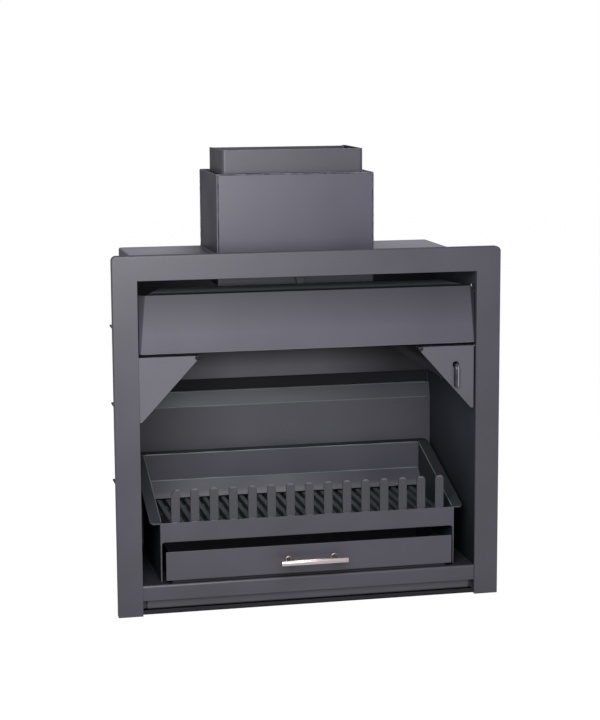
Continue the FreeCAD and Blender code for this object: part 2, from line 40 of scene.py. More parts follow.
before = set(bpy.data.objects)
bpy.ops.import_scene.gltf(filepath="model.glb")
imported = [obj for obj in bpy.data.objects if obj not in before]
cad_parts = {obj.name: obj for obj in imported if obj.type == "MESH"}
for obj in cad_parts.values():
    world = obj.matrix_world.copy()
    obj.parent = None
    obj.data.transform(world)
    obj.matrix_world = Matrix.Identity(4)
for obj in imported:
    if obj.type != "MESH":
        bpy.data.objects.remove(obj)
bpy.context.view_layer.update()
LOG = logging.getLogger("fireplace")
MM = 0.001
SOFT_ANGLE, SHARP_ANGLE = math.radians(32), math.radians(40)
SAME_POINT = 1e-6
TO_RIGHT, TO_BACK, UP = (1, 0, 0), (0, 1, 0), (0, 0, 1)
QUARTER = np.linspace(0, np.pi / 2, 5)


class Axis(Enum):
    """The axis that a flat section is carried along."""

    X = 0
    Y = 1
    Z = 2

    @property
    def others(self) -> list[int]:
        """The two other axes, in order."""
        return [other for other in range(3) if other != self.value]


class Side(Enum):
    """The two sides of the fireplace, seen from the front."""

    LEFT = -1
    RIGHT = 1

    @property
    def word(self) -> str:
        """The side's name in lower case, as the nodes spell it."""
        return self.name.lower()


class Body(Enum):
    """The moving bodies that pieces ride on."""

    FIREBOX = "firebox"
    FLAP = "flap"
    LEVER = "lever"
    BASKET = "basket"
    DRAWER = "drawer"


class Slot(Enum):
    """The record's material slots."""

    OUTSIDE = "satin_black_paint"
    INSIDE = "firebox_paint"
    GRATE = "grate_black"
    HANDLE = "handle_steel"
    FASTENER = "bright_steel"


@dataclass
class Shape:
    """A surface: its points, its four-sided faces, and its flat faces with more sides."""

    points: np.ndarray
    quads: np.ndarray
    caps: list[np.ndarray] = field(default_factory=list)

    def volume(self) -> float:
        """Volume inside the surface: the sum of p0 . (p1 x p2) / 6 over fans of its faces.

        Returns:
            The volume, below 0 where the faces point inwards.
        """
        total = 0.0
        for faces in [self.quads, *[cap[None] for cap in self.caps]]:
            first = self.points[faces[:, :1]]
            turn = np.cross(self.points[faces[:, 1:-1]], self.points[faces[:, 2:]])
            total += float((first * turn).sum()) / 6
        return total

    def outward(self) -> "Shape":
        """The same surface with its faces turned to point out of the metal.

        Returns:
            The turned surface.
        """
        if self.volume() >= 0:
            return self
        return Shape(self.points, self.quads[:, ::-1], [cap[::-1] for cap in self.caps])


def joined(shapes: Sequence[Shape]) -> Shape:
    """Put several surfaces into one.

    Args:
        shapes: The surfaces, each closed by itself.

    Returns:
        One surface that holds them all, with every face pointing outwards.
    """
    whole = [shape.outward() for shape in shapes]
    starts = np.cumsum([0] + [len(shape.points) for shape in whole[:-1]])
    return Shape(
        np.concatenate([shape.points for shape in whole]),
        np.concatenate([shape.quads + start for shape, start in zip(whole, starts)]),
        [cap + start for shape, start in zip(whole, starts) for cap in shape.caps],
    )


def repeated(shape: Shape, places: Sequence[float] | np.ndarray) -> Shape:
    """Copy a surface to several places along X.

    Args:
        shape: The surface to copy.
        places: How far each copy is moved.

    Returns:
        One surface that holds the copies.
    """
    base = shape.outward()
    starts = np.arange(len(places)) * len(base.points)
    points = (base.points[None] + np.outer(places, TO_RIGHT)[:, None]).reshape(-1, 3)
    quads = (base.quads[None] + starts[:, None, None]).reshape(-1, 4)
    return Shape(points, quads, [cap + start for start in starts for cap in base.caps])


def unit(vectors: np.ndarray) -> np.ndarray:
    """Vectors of length one in the same directions, with zero vectors left as they are."""
    length = np.linalg.norm(vectors, axis=-1, keepdims=True)
    return vectors / np.where(length < 1e-12, 1.0, length)


def rounded(points: Sequence, radii: float | Sequence, closed: bool = True, steps: int = 6) -> np.ndarray:
    """Round the corners of a flat line.

    At each corner an arc touches both sides at radius / tan(half the inside angle) from the corner. Its
    points are the two end radii mixed by sin((1 - s) a) and sin(s a) over sin(a), where a is the angle that
    it turns. One more point a little outside each end of the arc keeps the flats beside it shaded flat.

    Args:
        points: Corners of the line, in order.
        radii: One radius, or one for each corner.
        closed: Whether the last corner joins the first.
        steps: Pieces in each arc.

    Returns:
        Points of the rounded line.
    """
    corner = np.asarray(points, float)
    radius = np.broadcast_to(np.asarray(radii, float), len(corner)).copy()
    before = np.roll(corner, 1, axis=0) - corner
    after = np.roll(corner, -1, axis=0) - corner
    if not closed:
        radius[[0, -1]] = 0.0
        before[0] = -after[0]
        after[-1] = -before[-1]
    before, after = unit(before), unit(after)
    half = np.arccos(np.clip((before * after).sum(axis=1), -1, 1)) / 2
    centre = corner + unit(before + after) * (radius / np.sin(half))[:, None]
    reach = (radius / np.tan(half))[:, None]
    share = np.linspace(0, 1, steps + 1)[None, :, None]
    turn = (np.pi - 2 * half)[:, None, None]
    scale = np.where(np.sin(turn) < 1e-9, 1.0, np.sin(turn))
    start = (corner + before * reach - centre)[:, None]
    end = (corner + after * reach - centre)[:, None]
    arc = (np.sin((1 - share) * turn) * start + np.sin(share * turn) * end) / scale + centre[:, None]
    guard = reach + np.minimum(0.4 * MM, 0.1 * radius)[:, None]
    first, last = corner + before * guard, corner + after * guard
    arc = np.concatenate([first[:, None], arc, last[:, None]], axis=1)
    line = np.where((radius > 0)[:, None, None], arc, corner[:, None]).reshape(-1, 2)
    keep = np.linalg.norm(line - np.roll(line, 1, axis=0), axis=1) > 1e-7
    keep[0] = keep[0] or not closed
    return line[keep]


def folded(points: Sequence, bend: float, sheet: float, steps: int = 6, ridge: float = 0.0) -> np.ndarray:
    """Section of a folded sheet.

    The face line and the same line moved to its left by the thickness, both with rounded bends: the inner
    one has the bend's own radius and the outer one that radius and the thickness, unless a ridge is given.

    Args:
        points: Corners of the face line.
        bend: Inside radius of the bends.
        sheet: Thickness of the sheet.
        steps: Pieces in each bend.
        ridge: Outside radius of the bends where they are pressed sharp.

    Returns:
        The closed section.
    """
    face = np.asarray(points, float)
    wide = ridge or bend + sheet
    along = unit(np.diff(face, axis=0))
    left = np.stack([-along[:, 1], along[:, 0]], axis=1)
    before = np.concatenate([left[:1], left])
    after = np.concatenate([left, left[-1:]])
    back = face + sheet * (before + after) / (1 + (before * after).sum(axis=1, keepdims=True))
    turn = along[:-1, 0] * along[1:, 1] - along[:-1, 1] * along[1:, 0]
    to_left = np.concatenate([[True], turn > 0, [True]])
    face_line = rounded(face, np.where(to_left, wide, bend), False, steps)
    back_line = rounded(back, np.where(to_left, bend, wide), False, steps)
    return np.concatenate([face_line, back_line[::-1]])


def placed(section: np.ndarray, axis: Axis, *places: float) -> np.ndarray:
    """Set a flat section at places along an axis.

    Args:
        section: Points on the two other axes, in X, Y, Z order.
        axis: The axis that the section is carried along.
        *places: Where it is set.

    Returns:
        One ring of points for each place.
    """
    rings = np.empty((len(places), len(section), 3))
    rings[:, :, axis.value] = np.asarray(places, float)[:, None]
    rings[:, :, axis.others] = section
    return rings


def skin(rings: np.ndarray, ring_closed: bool = False) -> Shape:
    """Cover a row of closed rings.

    Args:
        rings: Points as rows of rings.
        ring_closed: Whether the last ring joins the first; otherwise a flat face closes each end.

    Returns:
        The closed surface.
    """
    count, size, _ = rings.shape
    rows = np.arange(count if ring_closed else count - 1)
    row, column = np.meshgrid(rows, np.arange(size), indexing="ij")
    this, following = row * size, (row + 1) % count * size
    beside = (column + 1) % size
    quads = np.stack([this + column, this + beside, following + beside, following + column], axis=-1)
    ends = np.arange(size)
    caps = [] if ring_closed else [ends[::-1], ends + (count - 1) * size]
    return Shape(rings.reshape(-1, 3), quads.reshape(-1, 4), caps)


def plate(outline: np.ndarray, axis: Axis, low: float, high: float) -> Shape:
    """A flat sheet: an outline carried along its thickness from low to high."""
    return skin(placed(outline, axis, low, high))


def block(left: float, right: float, low: float, high: float) -> np.ndarray:
    """Corners of a rectangle, from its lower left one round."""
    return np.array([(left, low), (right, low), (right, high), (left, high)])


def rectangle(half: float, low: float, high: float, radius: float) -> np.ndarray:
    """A rectangle either side of X = 0 and from low to high in the other direction, with round corners."""
    return rounded(block(-half, half, low, high), radius)


def bar(path: np.ndarray, radius: float | np.ndarray, across: Sequence[float], sides: int = 18,
        ring_closed: bool = False) -> Shape:
    """A round bar along a flat path.

    Each ring is path + radius (cos t side + sin t across), where side is square to the path and to across.

    Args:
        path: Points of the centre line.
        radius: One radius, or one for each point.
        across: Direction square to the plane of the path.
        sides: Points in each ring.
        ring_closed: Whether the path joins itself.

    Returns:
        The closed surface.
    """
    if ring_closed:
        tangent = np.roll(path, -1, axis=0) - np.roll(path, 1, axis=0)
    else:
        tangent = np.gradient(path, axis=0)
    normal = unit(np.asarray(across, float))
    side = unit(np.cross(tangent, normal))
    angle = np.linspace(0, 2 * np.pi, sides, endpoint=False)[None, :, None]
    size = np.broadcast_to(radius, len(path))[:, None, None]
    rings = path[:, None] + size * (np.cos(angle) * side[:, None] + np.sin(angle) * normal)
    return skin(rings, ring_closed)


def turned(profile: Sequence, centre: Sequence[float], axis: Axis, sides: int = 28) -> Shape:
    """A turned piece: circles of the profile's radii set along an axis.

    Args:
        profile: Pairs of place along the axis, from the centre, and radius.
        centre: A point of the axis.
        axis: The axis.
        sides: Points in each circle.

    Returns:
        The closed surface.
    """
    step, radius = np.asarray(profile, float).T
    angle = np.linspace(0, 2 * np.pi, sides, endpoint=False)
    rings = placed(np.stack([np.cos(angle), np.sin(angle)], axis=-1), axis, *step)
    rings[:, :, axis.others] *= radius[:, None, None]
    return skin(rings + np.asarray(centre, float))


def girth(outline: np.ndarray) -> np.ndarray:
    """Distances along a closed flat outline, from 0 at its first point to its whole length back there."""
    edges = np.linalg.norm(np.roll(outline, -1, axis=0) - outline, axis=1)
    return np.concatenate([[0.0], np.cumsum(edges)])


def around(outline: np.ndarray, place: np.ndarray) -> np.ndarray:
    """Points of a closed flat outline at distances along it, on straight lines between its corners."""
    ring = np.concatenate([outline, outline[:1]])
    return np.stack([np.interp(place, girth(outline), ring[:, way]) for way in (0, 1)], axis=1)


@dataclass(frozen=True)
class Bead:
    """A run of weld, or a line along an edge such as a painted highlight: a bar whose radius swells at each
    pool and drifts by a seed.
    """

    radius: float = 2.0 * MM
    pool: float = 5.0 * MM
    swell: float = 0.30
    drift: float = 0.22
    step: float = 1.0 * MM
    sides: int = 8

    def wobble(self, length: float, seed: int) -> tuple[np.ndarray, np.ndarray]:
        """Places along the run and the radius there.

        The radius is r (1 + swell |sin(pi s / pool)| + drift n(s)), with n a line through random knots.

        Args:
            length: Length of the run.
            seed: Seed of the drift.

        Returns:
            Distances along the run, and a radius for each.
        """
        place = np.linspace(0, length, max(4, int(length / self.step)))
        knots = np.linspace(0, length, max(3, int(length / self.pool)))
        drift = np.interp(place, knots, np.random.default_rng(seed).uniform(-1, 1, len(knots)))
        ripple = np.abs(np.sin(np.pi * place / self.pool))
        return place, self.radius * (1 + self.swell * ripple + self.drift * drift)

    def run(self, start: Sequence[float], end: Sequence[float], across: Sequence[float], seed: int) -> Shape:
        """A straight bead from start to end, drawn in to a point at both.

        Args:
            start: First point of its centre line.
            end: Last point.
            across: A direction square to the run.
            seed: Seed of its drift.

        Returns:
            The closed surface.
        """
        first, last = np.asarray(start, float), np.asarray(end, float)
        length = float(np.linalg.norm(last - first))
        place, radius = self.wobble(length, seed)
        close = np.minimum(place, length - place) / self.radius
        path = first + (last - first) * (place / length)[:, None]
        return bar(path, radius * np.sqrt(np.clip(close, 0.04, 1.0)), across, self.sides)

    def loop(self, outline: np.ndarray, height: float, seed: int) -> Shape:
        """A bead round a closed flat outline at one height.

        Args:
            outline: X and Y of the outline's points.
            height: Z of the bead.
            seed: Seed of its drift.

        Returns:
            The closed surface.
        """
        place, radius = self.wobble(float(girth(outline)[-1]), seed)
        path = placed(around(outline, place[:-1]), Axis.Z, height)[0]
        return bar(path, radius[:-1], UP, self.sides, True)


def corners(node: str) -> tuple[np.ndarray, np.ndarray]:
    """Lowest and highest corner of a solid at rest."""
    low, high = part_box(node)
    return np.array(low), np.array(high)


def flanks(node: str) -> list[float]:
    """Distances of a solid's near and far side from the plane X = 0."""
    low, high = corners(node)
    return sorted((abs(low[0]), abs(high[0])))


def linear(code: str) -> tuple[float, float, float, float]:
    """Linear colour of an sRGB hex value.

    Args:
        code: The value, as # and six digits.

    Returns:
        Red, green, blue and an alpha of 1.
    """
    value = np.array([int(code[place:place + 2], 16) for place in (1, 3, 5)]) / 255
    light = np.where(value <= 0.04045, value / 12.92, ((value + 0.055) / 1.055) ** 2.4)
    return (*light.tolist(), 1.0)


def per_metre(size_mm: float) -> float:
    """Scale of a pattern whose marks are that many millimetres apart."""
    return 1 / (size_mm * MM)


class Kind(Enum):
    """Shader nodes: Blender's name, settings, the inputs that are fed and the output that is read."""

    PLACE = ("ShaderNodeTexCoord", {}, (), "Object")
    ACROSS = ("ShaderNodeSeparateXYZ", {}, (0,), "X")
    HEIGHT = ("ShaderNodeSeparateXYZ", {}, (0,), "Z")
    STRETCH = ("ShaderNodeMapping", {}, ("Vector", "Scale"), "Vector")
    NOISE = ("ShaderNodeTexNoise", {}, ("Vector", "Scale", "Detail"), 0)
    MIX = ("ShaderNodeMix", {"data_type": "RGBA"}, (0, 6, 7), 2)
    RANGE = ("ShaderNodeMapRange", {}, ("Value", "From Min", "From Max", "To Min", "To Max"), "Result")
    TIMES = ("ShaderNodeMath", {"operation": "MULTIPLY"}, (0, 1), 0)
    LARGER = ("ShaderNodeMath", {"operation": "MAXIMUM"}, (0, 1), 0)
    UNSIGNED = ("ShaderNodeMath", {"operation": "ABSOLUTE"}, (0,), 0)
    NORMAL = ("ShaderNodeNewGeometry", {}, (), "Normal")
    SOFT_NORMAL = ("ShaderNodeBevel", {"samples": 6}, ("Radius",), "Normal")
    DOT = ("ShaderNodeVectorMath", {"operation": "DOT_PRODUCT"}, (0, 1), "Value")
    FACING = ("ShaderNodeLayerWeight", {}, ("Blend",), "Facing")
    BUMP = ("ShaderNodeBump", {}, ("Strength", "Distance", "Height", "Normal"), "Normal")
    PAINT = ("ShaderNodeBsdfPrincipled", {}, ("Base Color", "Roughness", "Normal", "Specular IOR Level"), 0)
    METAL = ("ShaderNodeBsdfPrincipled", {}, ("Base Color", "Roughness", "Normal", "Metallic"), 0)
    MATT = ("ShaderNodeBsdfDiffuse", {}, ("Color",), 0)
    GLOW = ("ShaderNodeEmission", {}, ("Color", "Strength"), 0)
    BLEND = ("ShaderNodeMixShader", {}, (0, 1, 2), 0)
    BACKDROP = ("ShaderNodeBackground", {}, ("Color", "Strength"), 0)
    CAMERA_RAY = ("ShaderNodeLightPath", {}, (), "Is Camera Ray")
    GLOSSY_RAY = ("ShaderNodeLightPath", {}, (), "Is Glossy Ray")
    CLEAR_RAY = ("ShaderNodeLightPath", {}, (), "Is Transmission Ray")
    SURFACE = ("ShaderNodeOutputMaterial", {}, ("Surface",), None)
    WORLD = ("ShaderNodeOutputWorld", {}, ("Surface",), None)


def add_node(tree: bpy.types.NodeTree, kind: Kind, *values: object) -> bpy.types.NodeSocket | None:
    """Add a node with its settings, values and links.

    Args:
        tree: The node tree.
        kind: The kind of node.
        *values: A value, or the socket that feeds it, for each of the kind's inputs in order.

    Returns:
        The output that is read, or nothing for a tree's last node.
    """
    word, settings, inputs, output = kind.value
    node = tree.nodes.new(word)
    for name, value in settings.items():
        setattr(node, name, value)
    for name, value in zip(inputs, values):
        if isinstance(value, bpy.types.NodeSocket):
            tree.links.new(value, node.inputs[name])
        else:
            node.inputs[name].default_value = value
    return None if output is None else node.outputs[output]


def node_maker(owner: bpy.types.Material | bpy.types.World) -> partial:
    """Clear the node tree of a material or world.

    Args:
        owner: The material or world.

    Returns:
        add_node for that tree.
    """
    owner.use_nodes = True
    owner.node_tree.nodes.clear()
    return partial(add_node, owner.node_tree)


@dataclass(frozen=True)
class Film:
    """A tone painted over the paint from a start to a full place, in metres along X or Z; most films are
    painted light or shade.

    On both sides, the place is a distance from X = 0. Gloss is a share of the paint's own.
    """

    start: float
    full: float
    tone: str = "#141416"
    share: float = 0.8
    gloss: float = 0.4
    along: Kind = Kind.HEIGHT
    both: bool = False


@dataclass(frozen=True)
class StovePaint:
    """Heat-resistant silicone paint, sprayed on sheet steel: a satin charcoal with a fine orange peel.

    The eye sees a soft sheen, slow drifts between a cool and a warm grey, a fine speckle of the flattening
    grit and paler edges where the coat is thin. The grit is really about 0.1 mm and is drawn coarser so that
    it shows. Its rough top takes away most of the gloss at a low angle, so the sheen drops from facing to
    grazing.
    """

    name: str
    tone: str
    tint: str
    edge: str
    roughness: float = 0.44
    sheen: tuple[float, float] = (0.50, 0.01)
    films: tuple[Film, ...] = ()
    wear: float = 0.55
    round_mm: float = 1.0
    drift_mm: float = 160.0
    peel_mm: float = 3.2
    grit_mm: float = 0.9
    tint_span: tuple[float, float] = (0.35, 0.65)
    grit_span: tuple[float, float] = (0.58, 0.74)
    grit_share: float = 0.16
    thin_span: tuple[float, float] = (0.99, 0.82)
    break_span: tuple[float, float] = (0.3, 0.6)
    break_share: tuple[float, float] = (0.25, 1.0)
    facing_span: tuple[float, float] = (0.25, 0.75)
    rough_span: tuple[float, float] = (0.3, 0.7)
    rough_drift: float = 0.05
    bump: float = 0.10
    bump_mm: float = 0.25

    def build(self) -> bpy.types.Material:
        """Make the material.

        Returns:
            The new material.
        """
        material = bpy.data.materials.new(self.name)
        add = node_maker(material)
        place = add(Kind.PLACE)
        drift, peel, grit = (
            add(Kind.NOISE, place, per_metre(size), detail)
            for size, detail in ((self.drift_mm, 2.0), (self.peel_mm, 2.0), (self.grit_mm, 1.0))
        )
        edge = linear(self.edge)
        tinted = add(Kind.RANGE, drift, *self.tint_span, 0.0, 1.0)
        colour = add(Kind.MIX, tinted, linear(self.tone), linear(self.tint))
        specks = add(Kind.RANGE, grit, *self.grit_span, 0.0, self.grit_share)
        colour = add(Kind.MIX, specks, colour, edge)
        soft = add(Kind.SOFT_NORMAL, self.round_mm * MM)
        match = add(Kind.DOT, soft, add(Kind.NORMAL))
        thin = add(Kind.RANGE, match, *self.thin_span, 0.0, self.wear)
        broken = add(Kind.TIMES, thin, add(Kind.RANGE, peel, *self.break_span, *self.break_share))
        colour = add(Kind.MIX, broken, colour, edge)
        gloss = add(Kind.RANGE, add(Kind.FACING, 0.5), *self.facing_span, *self.sheen)
        for film in self.films:
            where = add(film.along, place)
            if film.both:
                where = add(Kind.UNSIGNED, where)
            cover = add(Kind.RANGE, where, film.start, film.full, 0.0, film.share)
            colour = add(Kind.MIX, cover, colour, linear(film.tone))
            gloss = add(Kind.TIMES, gloss, add(Kind.RANGE, where, film.start, film.full, 1.0, film.gloss))
        bump = add(Kind.BUMP, self.bump, self.bump_mm * MM, peel, soft)
        rough = (self.roughness - self.rough_drift, self.roughness + self.rough_drift)
        spread = add(Kind.RANGE, drift, *self.rough_span, *rough)
        add(Kind.SURFACE, add(Kind.PAINT, colour, spread, bump, gloss))
        return material


@dataclass(frozen=True)
class BareSteel:
    """Steel without paint: plated or oil blackened with a mottled skin, or brushed along X with a fine belt.

    The eye sees cloudy marks on the skin, or long hairlines that streak the reflection. The hairlines are
    really about 0.05 mm apart and are drawn coarser so that they show. Between the two values of the
    highlight span, in metres of X, the skin is painted bright: a painted highlight.
    """

    name: str
    tone: str
    mark: str
    roughness: float = 0.32
    mark_mm: float = 4.0
    stretch: float = 1.0
    detail: float = 4.0
    marked: tuple[float, float] = (0.40, 0.75)
    bump: float = 0.10
    bump_mm: float = 0.10
    rougher: float = 0.10
    smoother: float = 0.06
    rough_span: tuple[float, float] = (0.3, 0.7)
    highlight_span: tuple[float, float] | None = None
    highlight_tone: str = "#b4b2b8"

    def build(self) -> bpy.types.Material:
        """Make the material.

        Returns:
            The new material.
        """
        material = bpy.data.materials.new(self.name)
        add = node_maker(material)
        place = add(Kind.PLACE)
        drawn = add(Kind.STRETCH, place, (1 / self.stretch, 1.0, 1.0))
        marks = add(Kind.NOISE, drawn, per_metre(self.mark_mm), self.detail)
        share = add(Kind.RANGE, marks, *self.marked, 0.0, 1.0)
        colour = add(Kind.MIX, share, linear(self.tone), linear(self.mark))
        if self.highlight_span:
            painted_highlights = add(Kind.RANGE, add(Kind.ACROSS, place), *self.highlight_span, 0.0, 1.0)
            colour = add(Kind.MIX, painted_highlights, colour, linear(self.highlight_tone))
        bump = add(Kind.BUMP, self.bump, self.bump_mm * MM, marks)
        rough = (self.roughness - self.smoother, self.roughness + self.rougher)
        spread = add(Kind.RANGE, marks, *self.rough_span, *rough)
        add(Kind.SURFACE, add(Kind.METAL, colour, spread, bump, 1.0))
        return material


Finish = StovePaint | BareSteel


class Finishes:
    """The finishes of this fireplace, each built once."""

    # Satin charcoal with a soft, even sheen.
    outside = StovePaint("satin_stove_paint", "#3e3c45", "#43414b", "#6a6872", 0.42)
    # Paint on the beads is painted paler than the outside: a painted highlight along the welds and along the
    # flap's foot.
    weld = replace(outside, name="stove_paint_on_weld_painted_highlight", tone="#55535d", tint="#5b5964")
    # Pale, glossy lines on proud edges and folds: painted highlights.
    painted_highlights = replace(outside, name="stove_paint_painted_highlight_lines", tone="#696c70", tint="#75787c", edge="#868a8d")
    # A shade paler than the outside.
    gusset = replace(outside, name="satin_stove_paint_gusset", tone="#504f57", tint="#55545d")
    # The brow is painted paler than the outside as painted light on its upturned face, and darker and duller
    # where it meets the flap's head as painted shade in the fold.
    brow = replace(outside, name="stove_paint_brow_painted_light_and_shade", tone="#505258", tint="#55575d",
                   films=(Film(0.6552, 0.6546, "#17171b", 0.85, 0.3),))
    # The lid's top is painted paler than its rim: painted light from above.
    lid = replace(outside, name="stove_paint_lid_painted_light", films=(Film(0.7125, 0.7152, "#53515a", 1.0, 1.0),))
    # The frame's top edge is painted darker and duller: painted shade.
    trim = replace(outside, name="satin_stove_paint_trim",
                   films=(Film(0.7312, 0.7324, "#2a2a30", 0.7, 0.15),))
    # The flap is painted darker and duller towards its head: painted shade under the frame's top rail.
    flap = replace(outside, name="stove_paint_flap_painted_shade", tone="#46444f", tint="#4b4954",
                   films=(Film(0.575, 0.66, "#27282a", 0.6, 0.5),))
    # The flue's top plate is painted darker and duller than its upright faces. The hearth's top is painted
    # darker and duller as painted shade under the firebox's top, and its lip is not.
    casing = replace(outside, name="stove_paint_flue_dark_top_plate", tone="#42404d", tint="#474553",
                     films=(Film(0.8792, 0.8806, "#1a1a1e", 0.85, 0.1),))
    hearth = replace(outside, name="stove_paint_hearth_painted_shade",
                     films=(Film(0.0612, 0.0628, "#1e1e22", 0.6, 0.2),))
    # The firebox is painted a little paler than the outside: painted light inside it.
    inside = StovePaint("satin_stove_paint_firebox", "#474650", "#4c4b56", "#72717a", 0.44)
    # The leaning top of the fire back is painted paler and glossier as painted light, and its left is painted
    # darker and duller as painted shadow of the left wall.
    fire_back = replace(inside, name="stove_paint_fire_back_painted_light_and_shadow", tone="#504f58", tint="#55545e",
                        films=(Film(0.361, 0.367, "#52565f", 0.6, 1.1),
                               Film(-0.08, -0.34, share=0.4, gloss=0.6, along=Kind.ACROSS)))
    # The baffle is painted paler than the rest of the inside as painted light, and darker and duller at its
    # top and at both of its ends as painted shade under the flap and beside the walls.
    baffle = replace(inside, name="stove_paint_baffle_painted_shade", tone="#5b5a62", tint="#605f68",
                     films=(Film(0.446, 0.484, share=0.55, gloss=0.35),
                            Film(0.10, 0.27, share=0.6, gloss=0.4, along=Kind.ACROSS, both=True)))
    # The throat is painted darker and duller upwards from its torch-cut edge: painted shade under the lid.
    throat = replace(inside, name="stove_paint_throat_painted_shade", films=(Film(0.658, 0.680, "#2a2c2e"),))
    # The foot of the basket's back is painted paler as painted light on its sloping face, and its left is
    # painted darker and duller as painted shadow of the left side.
    basket_back_light_shade = replace(inside, name="ash_greyed_stove_paint",
                       films=(Film(0.1945, 0.1890, "#6f7076", 0.35, 1.0),
                              Film(-0.12, -0.33, share=0.35, gloss=0.65, along=Kind.ACROSS)))
    # Near-black paint, paler along every edge: edge wear, and painted highlight along the folds and corners.
    basket = StovePaint("stove_paint_basket_edge_wear_and_highlight", "#2c2f34", "#313439", "#8a8c91", 0.48, (0.35, 0.01),
                        wear=1.0, round_mm=1.8)
    # The round tips of the teeth are painted pale and glossy: painted highlights.
    fence = StovePaint("stove_paint_fence_tip_highlights", "#3a3a40", "#3f3f46", "#6c6c72", 0.50, (0.35, 0.01),
                       (Film(0.2500, 0.2535, "#8e8e93", 0.4, 1.2),))
    # The walls have little sheen and are painted dark, darker towards the hearth: painted shade inside the
    # firebox.
    wall = StovePaint("stove_paint_wall_painted_shade", "#373a42", "#3c3f48", "#4f5258", 0.60, (0.06, 0.01),
                      (Film(0.34, 0.10, "#141619", 0.8, 0.5),))
    # A dull dark grey, without the outside's violet cast.
    grate = StovePaint("matt_stove_paint_grate", "#43464b", "#494c51", "#62656a", 0.48)
    # Near black and dull, like soot. On the sheet behind the slot and on the base plate it is painted shade.
    soot = StovePaint("soot_black_paint_and_painted_shade", "#2a2a2e", "#303034", "#3a3a3e", 0.80, (0.10, 0.02))
    # Bright, with hairlines along the bar.
    handle = BareSteel("brushed_stainless_steel", "#c3bab8", "#989090", 0.30, 0.5, 60.0, 3.0, (0.35, 0.70),
                       0.08, 0.05, 0.08)
    # The same steel, duller and painted darker: painted shade under the handle's bar.
    posts = replace(handle, name="brushed_stainless_steel_posts_painted_shade", tone="#8d8481", mark="#6c6461",
                    roughness=0.42)
    # A pale, cloudy grey.
    zinc = BareSteel("zinc_plated_steel", "#85898c", "#a8acae")
    # Nearly black, with tight highlights.
    black = BareSteel("oil_blackened_steel", "#2a2a31", "#3a3a42", 0.22, 9.0)
    # Dark, with a bright band painted along its right side: a painted highlight.
    lever = BareSteel("oil_blackened_steel_painted_highlight", "#3a3a44", "#44444e", 0.34, 9.0, highlight_span=(0.3078, 0.3095))

    def __init__(self) -> None:
        """Start with nothing built."""
        self._built: dict[str, bpy.types.Material] = {}

    def material(self, finish: Finish) -> bpy.types.Material:
        """The Blender material of a finish, made the first time that it is asked for.

        Args:
            finish: The finish.

        Returns:
            Its material.
        """
        if finish.name not in self._built:
            self._built[finish.name] = finish.build()
        return self._built[finish.name]


FINISHES = Finishes()


def piece(body: Body, name: str, shape: Shape, finish: Finish, slot: Slot, *replaced: str,
          edge: float = 0.6 * MM, merge: bool = False) -> None:
    """Put a surface into the scene as a finished piece.

    Args:
        body: The body that it rides on.
        name: Name of the piece.
        shape: Its surface.
        finish: Its finish.
        slot: The record's slot of its finish; not used.
        *replaced: The solids that it stands for.
        edge: Width of the softened edges, or 0 to leave them.
        merge: Whether points that fall together are made one.
    """
    solid = shape.outward()
    mesh = bpy.data.meshes.new(name)
    mesh.from_pydata(solid.points.tolist(), [], solid.quads.tolist() + [cap.tolist() for cap in solid.caps])
    if merge:
        work = bmesh.new()
        work.from_mesh(mesh)
        bmesh.ops.remove_doubles(work, verts=work.verts, dist=SAME_POINT)
        work.to_mesh(mesh)
        work.free()
    mesh.shade_smooth()
    mesh.materials.append(FINISHES.material(finish))
    made = bpy.data.objects.new(name, mesh)
    bpy.context.scene.collection.objects.link(made)
    if edge > 0:
        bevel = made.modifiers.new("softened_edges", "BEVEL")
        bevel.width = edge
        bevel.segments = 2
        bevel.limit_method = "ANGLE"
        bevel.angle_limit = SOFT_ANGLE
        bevel.use_clamp_overlap = False
        bevel.harden_normals = True
    else:
        mesh.set_sharp_from_angle(angle=SHARP_ANGLE)
    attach(made, body.value)
    if replaced:
        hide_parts(*replaced)
    LOG.info("%s: %d faces on %s", name, len(mesh.polygons), body.value)


def dress(finish: Finish, *names: str) -> None:
    """Give solids that are shown as they are their finish.

    Args:
        finish: Their finish.
        *names: The nodes.
    """
    for name in names:
        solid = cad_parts[name]
        if not solid.material_slots:
            solid.data.materials.append(None)
        for place in solid.material_slots:
            place.material = FINISHES.material(finish)
        LOG.info("%s: solid shown as it is", name)


@dataclass(frozen=True)
class TrimFrame:
    """The three-sided frame of folded sheet: a flat face and a return along its outer edge."""

    width: float = 50 * MM
    corner: float = 10 * MM
    bend: float = 0.4 * MM
    sheet: float = 1.6 * MM
    steps: int = 10

    def shape(self) -> Shape:
        """The frame as one folded section carried up, across and down.

        A section point lies n outside the opening. Up to the corner's centre it turns as a mitre, and beyond
        it by an arc: x = -(half + min(n, c) + max(n - c, 0) cos a) and
        z = top + min(n, c) + max(n - c, 0) sin a.

        Returns:
            Its surface.
        """
        low, high = corners("trim_frame")
        half_open = high[0] - self.width
        front, back = low[1], high[1]
        section = folded([(0, front), (self.width, front), (self.width, back)], self.bend, self.sheet)
        out, depth = section.T
        square = np.minimum(out, self.width - self.corner)
        arc = out - square
        angle = np.linspace(0, np.pi / 2, self.steps + 1)[:, None]
        left_x = -(half_open + square + arc * np.cos(angle))
        left_z = high[2] - self.width + square + arc * np.sin(angle)
        foot_x = -(half_open + out)[None]
        foot_z = np.full_like(foot_x, low[2])
        x = np.concatenate([foot_x, left_x, -left_x[::-1], -foot_x])
        z = np.concatenate([foot_z, left_z, left_z[::-1], foot_z])
        return skin(np.stack([x, np.broadcast_to(depth, x.shape), z], axis=-1))

    def build(self) -> None:
        """Make the frame."""
        piece(Body.FIREBOX, "trim_frame_sheet", self.shape(), Finishes.trim, Slot.OUTSIDE, "trim_frame",
              edge=0.5 * MM, merge=True)


